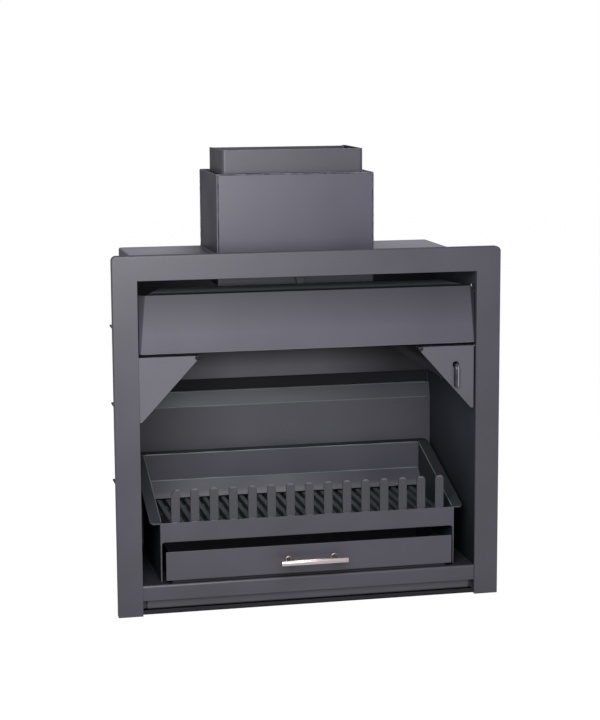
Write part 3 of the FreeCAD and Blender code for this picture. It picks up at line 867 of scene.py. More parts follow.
@dataclass(frozen=True)
class Firebox:
    """The box behind the frame, its hearth and lip, the fire back and the baffle."""

    sheet: float = 3 * MM
    bend: float = 1.2 * MM
    lip_bend: float = 2.5 * MM
    lean_bend: float = 10 * MM
    lean_rise: float = 33 * MM
    edge_in: float = 1.4 * MM
    edge_down: float = 1.8 * MM
    crest_in: float = 2.0 * MM
    lid_inset: float = 7 * MM
    lid_rise: float = 6.5 * MM
    lid_rim: float = 24 * MM
    lid_bend: float = 4 * MM
    lid_guard: float = 0.5 * MM
    base_reach: float = 16 * MM
    stop_half: float = 7 * MM
    stop_in: float = 6 * MM
    stop_back: float = 9 * MM
    film: float = 0.5 * MM
    clear: float = 0.2 * MM
    soot_sheet: float = 2 * MM
    slot_shade_below: float = 20 * MM
    slot_shade_above: float = 8 * MM
    weld_length: float = 38 * MM
    weld_pitch: float = 118 * MM
    weld_start: float = 60 * MM

    def side_sheet(self, side: Side) -> Shape:
        """A side: a tall sheet whose top edge is folded in under the lid.

        Args:
            side: Which side.

        Returns:
            Its surface.
        """
        node = f"body_side_{side.word}"
        low, high = corners(node)
        outer = flanks(node)[1]
        inner = outer - self.sheet - self.lid_rim
        top = high[2] - self.lid_rim + self.sheet
        section = folded([(outer, low[2]), (outer, top), (inner, top)], self.bend, self.sheet)
        section[:, 0] *= side.value
        return plate(section, Axis.Y, low[1], high[1])

    def lid(self) -> Shape:
        """The lid: a shallow pan with a rim folded down inside the walls, and the flue's opening in it.

        Returns:
            Its surface.
        """
        low, high = corners("body_top")
        front, back = low[1], corners("body_back")[0][1] - self.clear
        flue_low, flue_high = corners("flue_casing")
        half = high[0] - self.lid_inset
        top, foot = high[2] + self.lid_rise, high[2] - self.lid_rim
        inset = self.lid_bend * (1 - np.cos(QUARTER))
        level = top - self.lid_bend * (1 - np.sin(QUARTER))
        rings = [
            placed(rectangle(half - step, front + step, back - step, self.lid_bend), Axis.Z, z)
            for z, step in [(foot, 0.0), *zip(level, inset), (top, self.lid_bend + self.lid_guard)]
        ]
        opening = rectangle(flue_high[0] - self.sheet, flue_low[1] + self.sheet, flue_high[1] - self.sheet,
                            self.bend)
        rings.append(placed(opening, Axis.Z, top, top - self.sheet))
        inside = rectangle(half - self.sheet, front + self.sheet, back - self.sheet, self.bend)
        rings.append(placed(inside, Axis.Z, top - self.sheet, foot))
        return skin(np.concatenate(rings), True)

    def back(self) -> Shape:
        """The back wall, up to the lid's rim.

        Returns:
            Its surface.
        """
        low, high = corners("body_back")
        top = high[2] - self.lid_rim + self.sheet
        return plate(rectangle(high[0], low[2], top, self.bend), Axis.Y, low[1], high[1])

    def baffle(self) -> Shape:
        """The baffle over the slot: a flat sheet with soft edges."""
        low, high = corners("smoke_baffle")
        return plate(rectangle(high[0], low[2], high[2], self.bend), Axis.Y, low[1], high[1])

    def base(self) -> Shape:
        """The bottom sheet with a low lip turned up along its front.

        Returns:
            Its surface.
        """
        low, high = corners("base_plate")
        front = low[1] - self.base_reach
        section = folded([(front, high[2]), (front, low[2]), (high[1], low[2])], self.bend, self.sheet)
        return plate(section, Axis.X, low[0], high[0])

    def slot_back(self) -> Shape:
        """The near-black sheet seen through the slot between the fire back and the baffle: painted shade in
        the slot.

        Returns:
            Its surface.
        """
        low, high = corners("body_back")
        foot = corners("fire_back")[1][2] - self.slot_shade_below
        head = corners("smoke_baffle")[0][2] + self.slot_shade_above
        face = low[1] - self.clear
        outline = rectangle(high[0] - self.sheet, foot, head, self.bend)
        return plate(outline, Axis.Y, face - self.soot_sheet, face)

    def wall_film(self, side: Side) -> Shape:
        """The inner face of a side, as a film on it from the hearth to the lid, painted dark as painted
        shade.

        Args:
            side: Which side.

        Returns:
            Its surface.
        """
        node = f"body_side_{side.word}"
        low, high = corners(node)
        inner = flanks(node)[0]
        outline = block(low[1] + self.sheet, corners("body_back")[0][1],
                        corners("hearth_plate")[1][2], high[2] - self.lid_rim)
        return plate(outline, Axis.X, *sorted((inner * side.value, (inner - self.film) * side.value)))

    def hearth(self) -> Shape:
        """The hearth plate: a lip and a top in one folded sheet, carried across.

        Returns:
            Its surface.
        """
        low, high = corners("hearth_plate")
        section = folded([(high[1], high[2]), (low[1], high[2]), (low[1], low[2])], self.lip_bend, self.sheet)
        return plate(section, Axis.X, low[0], high[0])

    def rail(self) -> Shape:
        """The recessed rail under the lip: an upright with a foot turned back, and a plate behind each end.

        Returns:
            Its surface.
        """
        low, high = corners("base_front_rail")
        section = folded([(low[1], high[2]), (low[1], low[2]), (high[1], low[2])], self.lip_bend, self.sheet)
        middle = corners("hearth_plate")[1][0] - self.stop_in
        face = low[1] + self.stop_back
        stop = plate(block(-self.stop_half, self.stop_half, low[2], high[2]), Axis.Y, face, face + self.sheet)
        return joined([plate(section, Axis.X, low[0], high[0]), repeated(stop, (-middle, middle))])

    def liner(self) -> Shape:
        """The fire back: upright, then leaning back above a soft bend.

        Returns:
            Its surface.
        """
        low, high = corners("fire_back")
        face = [(high[1] - self.sheet, high[2]), (low[1], high[2] - self.lean_rise), (low[1], low[2])]
        return plate(folded(face, self.lean_bend, self.sheet, 10), Axis.X, low[0], high[0])

    def liner_highlights(self) -> Shape:
        """Pale lines along the fire back's top edge and the crest of its bend: painted highlights.

        Returns:
            Their surface.
        """
        low, high = corners("fire_back")
        line = Bead(radius=2.4 * MM, pool=60 * MM, swell=0.0, drift=0.15, step=12 * MM)
        top = (high[1] - self.sheet + self.edge_in, high[2] - self.edge_down)
        crest = (low[1] + self.crest_in, high[2] - self.lean_rise)
        return joined([
            line.run((low[0], y, z), (high[0], y, z), UP, seed) for (y, z), seed in ((top, 81), (crest, 82))
        ])

    def stitches(self) -> Shape:
        """Short runs of weld up both back corners.

        Returns:
            Their surface.
        """
        low, high = corners("body_side_right")
        rise = np.arange(low[2] + self.weld_start, high[2] - self.weld_length, self.weld_pitch)
        runs = []
        for number, start in enumerate(rise):
            for side in Side:
                line = (side.value * (high[0] - self.sheet), high[1])
                seed = 200 + number * 2 + side.value
                runs.append(Bead().run((*line, start), (*line, start + self.weld_length), TO_RIGHT, seed))
        return joined(runs)

    def build(self) -> None:
        """Make the folded pieces and dress the flat ones."""
        put = partial(piece, Body.FIREBOX)
        put("hearth_sheet", self.hearth(), Finishes.hearth, Slot.INSIDE, "hearth_plate")
        put("base_rail_sheet", self.rail(), Finishes.outside, Slot.OUTSIDE, "base_front_rail")
        put("fire_back_sheet", self.liner(), Finishes.fire_back, Slot.INSIDE, "fire_back")
        put("fire_back_edge_highlights", self.liner_highlights(), Finishes.painted_highlights, Slot.INSIDE, edge=0)
        put("body_lid_sheet", self.lid(), Finishes.lid, Slot.OUTSIDE, "body_top", edge=0.5 * MM)
        # The base plate takes the near-black finish as painted shade under the rail.
        put("base_plate_sheet", self.base(), Finishes.soot, Slot.OUTSIDE, "base_plate")
        put("slot_back_painted_shade", self.slot_back(), Finishes.soot, Slot.INSIDE)
        for side in Side:
            node = f"body_side_{side.word}"
            put(f"{node}_sheet", self.side_sheet(side), Finishes.outside, Slot.OUTSIDE, node)
            put(f"wall_film_{side.word}", self.wall_film(side), Finishes.wall, Slot.INSIDE, edge=0)
        put("body_stitch_welds", self.stitches(), Finishes.outside, Slot.OUTSIDE, edge=0)
        dress(Finishes.outside, "base_rear_rail", "wall_lugs_left", "wall_lugs_right", "lever_bracket")
        put("body_back_sheet", self.back(), Finishes.outside, Slot.INSIDE, "body_back")
        put("smoke_baffle_sheet", self.baffle(), Finishes.baffle, Slot.INSIDE, "smoke_baffle")


@dataclass(frozen=True)
class Gussets:
    """The corner plates under the flap, with a bolt at each tip and the lever's hole in the right one."""

    tip: float = 5 * MM
    lift: float = 5 * MM
    wall_gap: float = 4.5 * MM
    flange: float = 22 * MM
    sheet: float = 3 * MM
    round_off: float = 2 * MM
    hole: float = 7 * MM
    hole_drop: float = 4.5 * MM
    edge_points: int = 12
    bolt: float = 3.5 * MM
    bolt_out: float = 9 * MM
    bolt_up: float = 8 * MM
    bolt_end: float = 5 * MM
    bolt_dome: float = 1 * MM
    nut_across: float = 5.5 * MM
    nut_height: float = 3.2 * MM

    def outline(self, side: Side) -> np.ndarray:
        """Corners of a gusset in X and Z, rounded, from its wall round its tip.

        Args:
            side: Which gusset. The right one leaves a gap beside the wall.

        Returns:
            Points of the outline.
        """
        low, high = corners(f"gusset_{side.word}")
        wall, point = (high[0], low[0]) if side is Side.RIGHT else (low[0], high[0])
        wall -= self.wall_gap * (side is Side.RIGHT)
        top = high[2] + self.lift
        return rounded([
            (wall, top), (point, top), (point, top - self.tip), (wall - self.tip * side.value, low[2]),
            (wall, low[2]),
        ], [0, self.round_off, self.round_off, self.round_off, 0])

    def drilled(self) -> Shape:
        """The right gusset: rays from the lever's hole to the outline, closed front to back.

        Each point of the outline has a partner on the hole's circle in the same direction from its centre.

        Returns:
            Its surface.
        """
        low, high = corners("gusset_right")
        lever_low, lever_high = corners("damper_lever")
        centre = np.array([(lever_low[0] + lever_high[0]) / 2, lever_high[2] - self.hole_drop])
        edge = self.outline(Side.RIGHT)
        share = np.linspace(0, 1, self.edge_points, endpoint=False)[:, None]
        rim = (edge[:, None] * (1 - share) + np.roll(edge, -1, axis=0)[:, None] * share).reshape(-1, 2)
        circle = centre + unit(rim - centre) * self.hole
        rings = [placed(rim, Axis.Y, low[1], high[1]), placed(circle, Axis.Y, high[1], low[1])]
        return skin(np.concatenate(rings), True)

    def ledge(self, side: Side) -> Shape:
        """The flange folded back along a gusset's top edge, out to the wall.

        Args:
            side: Which gusset.

        Returns:
            Its surface.
        """
        low, high = corners(f"gusset_{side.word}")
        top = high[2] + self.lift
        outline = block(low[0], high[0], top - self.sheet, top)
        return plate(outline, Axis.Y, high[1], high[1] + self.flange)

    def fastener(self, side: Side) -> Shape:
        """A stop bolt: a round shank with a domed end through a six-sided nut on the gusset's face.

        Args:
            side: Which gusset.

        Returns:
            Its surface.
        """
        low, high = corners(f"stop_bolt_{side.word}")
        centre = (low + high) / 2 + np.array([-side.value * self.bolt_out, 0.0, self.bolt_up])
        centre[1] = 0.0
        face = corners(f"gusset_{side.word}")[0][1]
        end, thick, across = face - self.bolt_end, self.nut_height, self.nut_across
        shank = [(end, self.bolt * 0.6), (end + self.bolt_dome, self.bolt), (high[1], self.bolt)]
        nut = [(face - thick, across * 0.9), (face - thick * 0.8, across), (face, across)]
        return joined([turned(shank, centre, Axis.Y), turned(nut, centre, Axis.Y, 6)])

    def build(self) -> None:
        """Make both gussets and their bolts."""
        put = partial(piece, Body.FIREBOX)
        low, high = corners("gusset_left")
        left = plate(self.outline(Side.LEFT), Axis.Y, low[1], high[1])
        for side, shape in ((Side.LEFT, left), (Side.RIGHT, self.drilled())):
            node, bolt = f"gusset_{side.word}", f"stop_bolt_{side.word}"
            whole = joined([shape, self.ledge(side)])
            put(f"{node}_sheet", whole, Finishes.gusset, Slot.OUTSIDE, node, edge=0.4 * MM)
            put(f"{bolt}_and_nut", self.fastener(side), Finishes.black, Slot.FASTENER, bolt, edge=0.2 * MM)


@dataclass(frozen=True)
class Flue:
    """The welded flue casing with its top plate, and the thinner folded collar in it."""

    sheet: float = 3 * MM
    corner: float = 1.0 * MM
    inner_corner: float = 0.5 * MM
    shoulder: float = 1.0 * MM
    collar_wall: float = 2.5 * MM
    collar_corner: float = 7 * MM
    rim_drop: float = 1.3 * MM
    skirt: float = 8 * MM
    ragged: float = 0.8 * MM
    cut_points: int = 400
    weld_short: float = 2 * MM
    weld_drop: float = 1.2 * MM
    joint_left: float = 3 * MM
    joint_right: float = 1.2 * MM
    joint_drop: float = 1.5 * MM

    def casing(self) -> Shape:
        """The casing: rings up its outside, over its shoulder to the mouth and down its inside.

        Returns:
            Its surface.
        """
        low, high = corners("flue_casing")
        neck_low, neck_high = corners("flue_collar")
        inset = self.shoulder * (1 - np.cos(QUARTER))
        level = high[2] - self.shoulder * (1 - np.sin(QUARTER))
        foot = corners("body_top")[1][2]
        under, sheet = high[2] - self.sheet, self.sheet
        rings = [
            placed(rectangle(high[0] - step, low[1] + step, high[1] - step, self.corner), Axis.Z, z)
            for z, step in [(foot, 0.0), *zip(level, inset)]
        ]
        mouth = rectangle(neck_high[0], neck_low[1], neck_high[1], self.collar_corner)
        rings.append(placed(mouth, Axis.Z, high[2], under))
        inside = rectangle(high[0] - sheet, low[1] + sheet, high[1] - sheet, self.inner_corner)
        rings.append(placed(inside, Axis.Z, under, foot))
        return skin(np.concatenate(rings), True)

    def throat(self) -> Shape:
        """The end of the casing under the lid, a tube whose lower edge is torch-cut and wanders a little.

        Its outlines are walked at even distances, and each point of the cut is moved up or down at random.

        Returns:
            Its surface.
        """
        low, high = corners("flue_casing")
        top, foot = corners("body_top")[1][2], low[2] - self.skirt
        rings = []
        for wall, levels in ((self.sheet, (top, foot)), (0.0, (foot, top))):
            outline = rectangle(high[0] - wall, low[1] + wall, high[1] - wall, self.corner)
            place = np.linspace(0, girth(outline)[-1], self.cut_points, endpoint=False)
            rings.append(placed(around(outline, place), Axis.Z, *levels))
        tube = np.concatenate(rings)
        tube[1:3, :, 2] += np.random.default_rng(71).uniform(-self.ragged, self.ragged, self.cut_points)
        return skin(tube, True)

    def collar(self) -> Shape:
        """The collar: outer and inner rectangles, with the back wall's rim a little lower up to its seam.

        Returns:
            Its surface.
        """
        low, high = corners("flue_collar")
        wall = self.collar_wall
        outer = rectangle(high[0], low[1], high[1], self.collar_corner)
        inner = rectangle(high[0] - wall, low[1] + wall, high[1] - wall, self.collar_corner - wall)
        walls = [placed(outer, Axis.Z, low[2], high[2]), placed(inner, Axis.Z, high[2], low[2])]
        rings = np.concatenate(walls)
        behind = rings[:, :, 1] > high[1] - wall * 2
        before_seam = rings[:, :, 0] < high[0] - self.collar_corner
        at_rim = np.array([False, True, True, False])[:, None]
        rings[:, :, 2] -= np.where(behind & before_seam & at_rim, self.rim_drop, 0.0)
        return skin(rings, True)

    def welds(self) -> Shape:
        """Weld up the casing's corners, round its top edge and its foot, and at the collar's foot and seam.

        Returns:
            Their surface.
        """
        low, high = corners("flue_casing")
        neck_low, neck_high = corners("flue_collar")
        lid = corners("body_top")[1][2] + Firebox.lid_rise
        bead, fine = Bead(radius=1.1 * MM), Bead(radius=0.9 * MM)
        inset = self.corner * 0.5
        upright = block(low[0] + inset, high[0] - inset, low[1] + inset, high[1] - inset)
        runs = [
            bead.run((x, y, lid), (x, y, high[2] - self.weld_short), TO_RIGHT, 20 + number)
            for number, (x, y) in enumerate(upright)
        ]
        top = rectangle(high[0] - inset, low[1] + inset, high[1] - inset, self.corner)
        foot = rectangle(neck_high[0], neck_low[1], neck_high[1], self.collar_corner)
        base = rectangle(high[0], low[1], high[1], self.corner)
        seam = (neck_high[0] - self.collar_corner, neck_high[1])
        return joined([
            *runs, fine.loop(top, high[2] - self.weld_drop, 31), fine.loop(foot, high[2], 32),
            bead.loop(base, lid, 33),
            fine.run((*seam, high[2]), (*seam, neck_high[2] - self.weld_short), TO_RIGHT, 34),
        ])

    def joints(self) -> Shape:
        """The dark joint of the casing's front plate: up its left edge, across its top and up its right edge.

        Returns:
            Their surface.
        """
        low, high = corners("flue_casing")
        line = Bead(radius=0.8 * MM, swell=0.0, drift=0.4, step=4 * MM)
        front, foot = low[1], corners("body_top")[1][2] + Firebox.lid_rise
        left, right, top = low[0] + self.joint_left, high[0] - self.joint_right, high[2] - self.joint_drop
        return joined([
            line.run((left, front, foot), (left, front, top), TO_RIGHT, 35),
            line.run((left, front, top), (right, front, top), TO_BACK, 36),
            line.run((right, front, foot), (right, front, top), TO_RIGHT, 37),
        ])

    def build(self) -> None:
        """Make the casing, the collar and their welds."""
        put = partial(piece, Body.FIREBOX)
        put("flue_casing_sheet", self.casing(), Finishes.casing, Slot.OUTSIDE, "flue_casing", edge=0)
        put("flue_throat_sheet", self.throat(), Finishes.throat, Slot.OUTSIDE, edge=0.4 * MM)
        put("flue_collar_sheet", self.collar(), Finishes.outside, Slot.OUTSIDE, "flue_collar",
            edge=0.5 * MM)
        put("flue_welds", self.welds(), Finishes.weld, Slot.OUTSIDE, edge=0)
        put("flue_front_joints", self.joints(), Finishes.soot, Slot.OUTSIDE, edge=0)


@dataclass(frozen=True)
class SmokeFlap:
    """The flap across the top of the opening: its ends lean back along slanted bends and turn into cheeks."""

    sheet: float = 2 * MM
    bend: float = 1.0 * MM
    foot_gap: float = 3.5 * MM
    head_gap: float = 13.5 * MM
    lean: float = 42.0
    rise: float = 2.5 * MM
    brow_rise: float = 5 * MM
    brow_depth: float = 74 * MM
    brow_mitre: float = 38 * MM
    highlight_in: float = 0.2 * MM
    highlight_up: float = 0.5 * MM
    pin: float = 2.6 * MM
    rivet_in: float = 9 * MM
    rivet_back: float = 5.5 * MM
    rivet_line: tuple = ((-2.5 * MM, 2.0 * MM), (2.4 * MM, 2.2 * MM), (3.4 * MM, 1.2 * MM))

    def face(self) -> Shape:
        """The face, its ears and its cheeks, folded from one sheet.

        At each level the line runs from the left cheek's back edge over the ear, the face and the other ear
        to the right cheek's. The ear starts where the face ends, further in towards the head, and leans back.

        Returns:
            Its surface.
        """
        low, high = corners("smoke_flap")
        front, back, outer = low[1], high[1], high[0]
        rings = []
        for level, gap in ((low[2], self.foot_gap), (high[2] + self.rise, self.head_gap)):
            turn = front + gap * math.tan(math.radians(self.lean))
            section = folded([
                (-outer, back), (-outer, turn), (-outer + gap, front), (outer - gap, front), (outer, turn),
                (outer, back),
            ], self.bend, self.sheet)
            rings.append(placed(section, Axis.Z, level))
        return skin(np.concatenate(rings))

    def brow(self) -> Shape:
        """The sheet that runs back from the head, rising a little, with mitred ends.

        Its half width is that of the face at its head, less the mitre times the share of its depth.

        Returns:
            Its surface.
        """
        low, high = corners("smoke_flap")
        head = high[2] + self.rise
        near = low[1] + self.sheet
        line = [(near + self.brow_depth, head + self.brow_rise), (near, head)]
        section = folded(line, self.bend, self.sheet)
        share = (section[:, 0] - near) / self.brow_depth
        rings = placed(section, Axis.X, -1, 1)
        rings[:, :, 0] *= high[0] - self.head_gap - self.brow_mitre * share
        return skin(rings)

    def foot(self) -> Shape:
        """A pale line along the foot's front edge: a painted highlight.

        Returns:
            Its surface.
        """
        low, high = corners("smoke_flap")
        half = high[0] - self.foot_gap
        line = Bead(radius=0.7 * MM, pool=40 * MM, swell=0.0, drift=0.4, step=10 * MM)
        edge = (low[1] + self.highlight_in, low[2] + self.highlight_up)
        return line.run((-half, *edge), (half, *edge), UP, 51)

    def pivot(self, side: Side) -> Shape:
        """A pivot pin with a domed end on the inside.

        Args:
            side: Which pin.

        Returns:
            Its surface.
        """
        low, high = corners(f"flap_pin_{side.word}")
        sign = -side.value
        end = (high[0] - low[0]) / 2 * sign
        profile = [(-end, 1.0), (end - 2 * MM * sign, 1.0), (end - MM * sign, 0.9), (end, 0.5)]
        return turned([(place, self.pin * share) for place, share in profile], (low + high) / 2, Axis.X)

    def rivet(self) -> Shape:
        """The bright end of a small rivet that stands up where the head meets the right ear.

        Returns:
            Its surface.
        """
        low, high = corners("smoke_flap")
        centre = (high[0] - self.rivet_in, low[1] + self.rivet_back, high[2] + self.rise)
        return turned(self.rivet_line, centre, Axis.Z, 16)

    def build(self) -> None:
        """Make the flap and its pivots."""
        put = partial(piece, Body.FLAP)
        put("smoke_flap_sheet", self.face(), Finishes.flap, Slot.OUTSIDE, "smoke_flap", edge=0.5 * MM)
        put("smoke_flap_brow", self.brow(), Finishes.brow, Slot.OUTSIDE, edge=0.4 * MM)
        put("smoke_flap_rivet", self.rivet(), Finishes.zinc, Slot.FASTENER, edge=0)
        put("smoke_flap_foot_highlight", self.foot(), Finishes.weld, Slot.OUTSIDE, edge=0)
        for side in Side:
            node = f"flap_pin_{side.word}"
            piece(Body.FIREBOX, f"{node}_turned", self.pivot(side), Finishes.soot, Slot.FASTENER, node,
                  edge=0)


@dataclass(frozen=True)
class Damper:
    """The flue's damper and the bent lever that works it through the right gusset."""

    rod: float = 5.2 * MM
    elbow: float = 9 * MM
    dome: float = 2 * MM
    dome_tip: float = 0.4 * MM

    def lever(self) -> Shape:
        """The lever: a bar that comes out of the gusset, turns down on a round elbow and ends in a dome.

        Returns:
            Its surface.
        """
        low, high = corners("damper_lever")
        x = (low[0] + high[0]) / 2
        stem_z, drop_y, foot = high[2] - self.rod, low[1] + self.rod, low[2]
        line = rounded([(high[1], stem_z), (drop_y, stem_z), (drop_y, foot)], self.elbow, False, 10)
        dome = [(drop_y, foot + self.dome), (drop_y, foot + self.dome_tip), (drop_y, foot)]
        line = np.concatenate([line[:-1], dome])
        radius = np.full(len(line), self.rod)
        radius[-2:] *= (0.8, 0.45)
        return bar(np.column_stack([np.full(len(line), x), line]), radius, TO_RIGHT, 24)

    def build(self) -> None:
        """Make the lever and dress the pieces in the flue."""
        piece(Body.LEVER, "damper_lever_bar", self.lever(), Finishes.lever, Slot.FASTENER, "damper_lever",
              edge=0)
        dress(Finishes.wall, "damper_plate", "damper_shaft")
        dress(Finishes.soot, "lever_crank", "damper_link")
        dress(Finishes.throat, "damper_crank")


@dataclass(frozen=True)
class FireBasket:
    """The raised basket: front portal, fence teeth, winged sides, folded back and grate of square bars."""

    sheet: float = 3 * MM
    bend: float = 1.0 * MM
    ridge: float = 1.2 * MM
    leg: float = 3 * MM
    rail: float = 40 * MM
    portal_round: float = 6 * MM
    top_round: float = 1.5 * MM
    back_wing_depth: float = 32 * MM
    wing_round: float = 9 * MM
    wing_lap: float = 0.6 * MM
    wing_gap: float = 0.2 * MM
    fold_rise: float = 29 * MM
    back_slope: float = 30 * MM
    tooth: float = 18 * MM
    tooth_pitch: float = 39.75 * MM
    tooth_round: float = 8 * MM
    end_chamfer: float = 10 * MM
    chamfer_round: float = 2 * MM
    fence_shift: float = 2.5 * MM
    bar: float = 10 * MM
    bar_pitch: float = 20 * MM
    bar_round: float = 1.2 * MM
    highlight_start: float = 2 * MM
    highlight_in: float = 0.3 * MM
    highlight_down: float = 0.6 * MM

    def portal(self) -> Shape:
        """The front: a rail on two legs, with round inner corners.

        Returns:
            Its surface.
        """
        low, high = corners("basket_front")
        inner, under = high[0] - self.leg, high[2] - self.rail
        outline = rounded([
            (low[0], low[2]), (-inner, low[2]), (-inner, under), (inner, under), (inner, low[2]),
            (high[0], low[2]), (high[0], high[2]), (low[0], high[2]),
        ], [0, 0, self.portal_round, self.portal_round, 0, 0, self.top_round, self.top_round])
        return plate(outline, Axis.Y, low[1], high[1])

    def side_sheet(self, side: Side) -> Shape:
        """A side: an upright with a wing folded outwards along its sloping top.

        The section is that of the front end. Further back its top rises by the slope, and at the front the
        wing's outer corner draws in by r - sqrt(r^2 - (r - d)^2) at a distance d from the end.

        Args:
            side: Which side.

        Returns:
            Its surface.
        """
        node = f"basket_side_{side.word}"
        low, high = corners(node)
        front_top = corners("basket_front")[1][2]
        inner, outer = flanks(node)
        line = [(outer, front_top), (inner, front_top), (inner, low[2])]
        section = folded(line, self.bend, self.sheet, 4, self.ridge)
        near = self.wing_round * (1 - np.cos(np.linspace(0, np.pi / 2, 8)))
        place = np.concatenate([low[1] + near, [high[1]]])
        rings = placed(section, Axis.Y, *place)
        rise = (high[2] - front_top) * (place - low[1]) / (high[1] - low[1])
        rings[:, :, 2] += np.where(section[:, 1] > front_top - self.sheet * 2, rise[:, None], 0.0)
        short = self.wing_round - np.clip(place - low[1], 0, self.wing_round)
        draw = self.wing_round - np.sqrt(self.wing_round ** 2 - short ** 2)
        rings[:, :, 0] -= np.where(section[:, 0] > outer - 1 * MM, draw[:, None], 0.0)
        rings[:, :, 0] *= side.value
        return skin(rings)

    def back_sheet(self) -> Shape:
        """The back: upright, then folded forward down to the grate.

        Returns:
            Its surface.
        """
        low, high = corners("basket_back")
        fold = corners("basket_front")[1][2] + self.fold_rise
        face = high[1] - self.sheet
        line = [(face, high[2]), (face, fold), (face - self.back_slope, low[2])]
        return plate(folded(line, self.bend, self.sheet, 4, self.ridge), Axis.X, low[0], high[0])

    def back_wing(self) -> Shape:
        """The wing along the back's top edge, out to the side wings' edges, with round outer corners.

        Returns:
            Its surface.
        """
        high = corners("basket_back")[1]
        inner, outer = flanks("basket_side_right")
        near = high[1] - self.sheet + self.wing_lap
        start = corners("basket_side_right")[1][1] + self.wing_gap
        far = start + self.back_wing_depth
        outline = rounded([
            (-inner, near), (inner, near), (inner, start), (outer, start), (outer, far), (-outer, far),
            (-outer, start), (-inner, start),
        ], [0, 0, 0, 0, self.wing_round, self.wing_round, 0, 0])
        return plate(outline, Axis.Z, high[2] - self.sheet, high[2])

    def tooth_places(self) -> np.ndarray:
        """Middles of the teeth along X."""
        low, high = corners("fence_teeth")
        return np.arange(low[0] + self.tooth / 2 + self.fence_shift, high[0], self.tooth_pitch)

    def teeth(self) -> Shape:
        """The fence teeth: flat bars with round tops, the first with its outer corner cut off.

        Returns:
            Their surface.
        """
        low, high = corners("fence_teeth")
        half, foot, top = self.tooth / 2, low[2], high[2]
        common = rounded(block(-half, half, foot, top), [0, 0, self.tooth_round, self.tooth_round], True, 8)
        cut = rounded([
            (-half, foot), (half, foot), (half, top), (-half + self.end_chamfer, top),
            (-half, top - self.end_chamfer),
        ], [0, 0, self.tooth_round / 2, self.chamfer_round, self.chamfer_round])
        places = self.tooth_places()
        return joined([
            repeated(plate(outline, Axis.Y, low[1], high[1]), row)
            for outline, row in ((cut, places[:1]), (common, places[1:]))
        ])

    def tacks(self) -> Shape:
        """A short tack of weld where each tooth meets the top of the rail.

        Returns:
            Their surface.
        """
        _, back, top = corners("basket_front")[1]
        half = self.tooth * 0.4
        tack = Bead(radius=1.3 * MM).run((-half, back, top), (half, back, top), TO_BACK, 41)
        return repeated(tack, self.tooth_places())

    def painted_highlights(self) -> Shape:
        """Pale lines along the proud edges of the basket, both ridges and the back's top edge and fold:
        painted highlights.

        Returns:
            Their surface.
        """
        front_top = corners("basket_front")[1][2]
        line = Bead(radius=0.9 * MM, pool=35 * MM, swell=0.0, drift=0.35, step=8 * MM)
        broad = replace(line, radius=1.3 * MM)
        runs = []
        for side in Side:
            node = f"basket_side_{side.word}"
            low, high = corners(node)
            x = side.value * flanks(node)[0]
            start, end = (x, low[1] + self.highlight_start, front_top), (x, high[1], high[2])
            runs.append(line.run(start, end, TO_RIGHT, 61 + side.value))
        low, high = corners("basket_back")
        face = high[1] - self.sheet + self.highlight_in
        for level, seed in ((high[2] - self.highlight_down, 64), (front_top + self.fold_rise, 65)):
            runs.append(broad.run((low[0], face, level), (high[0], face, level), UP, seed))
        return joined(runs)

    def bars(self) -> Shape:
        """The grate: square bars with slightly round edges, front to back.

        Returns:
            Their surface.
        """
        low, high = corners("grate_bars")
        half = self.bar / 2
        section = rounded(block(-half, half, low[2], high[2]), self.bar_round, True, 3)
        one = plate(section, Axis.Y, low[1], high[1])
        return repeated(one, np.arange(low[0] + half, high[0], self.bar_pitch))

    def build(self) -> None:
        """Make the basket."""
        put = partial(piece, Body.BASKET)
        put("basket_front_sheet", self.portal(), Finishes.outside, Slot.INSIDE, "basket_front",
            edge=0.5 * MM)
        for side in Side:
            node = f"basket_side_{side.word}"
            put(f"{node}_sheet", self.side_sheet(side), Finishes.basket, Slot.INSIDE, node,
                edge=0.4 * MM)
        put("basket_back_sheet", self.back_sheet(), Finishes.basket_back_light_shade, Slot.INSIDE, "basket_back",
            edge=0.9 * MM)
        put("basket_back_wing", self.back_wing(), Finishes.basket, Slot.INSIDE, edge=0.4 * MM)
        put("fence_teeth_bars", self.teeth(), Finishes.fence, Slot.INSIDE, "fence_teeth", edge=0.7 * MM)
        put("basket_edge_highlights", self.painted_highlights(), Finishes.painted_highlights, Slot.INSIDE, edge=0)
        put("fence_tack_welds", self.tacks(), Finishes.outside, Slot.INSIDE, edge=0)
        put("grate_square_bars", self.bars(), Finishes.grate, Slot.GRATE, "grate_bars", edge=0)
        dress(Finishes.grate, "bearer_front", "bearer_rear")


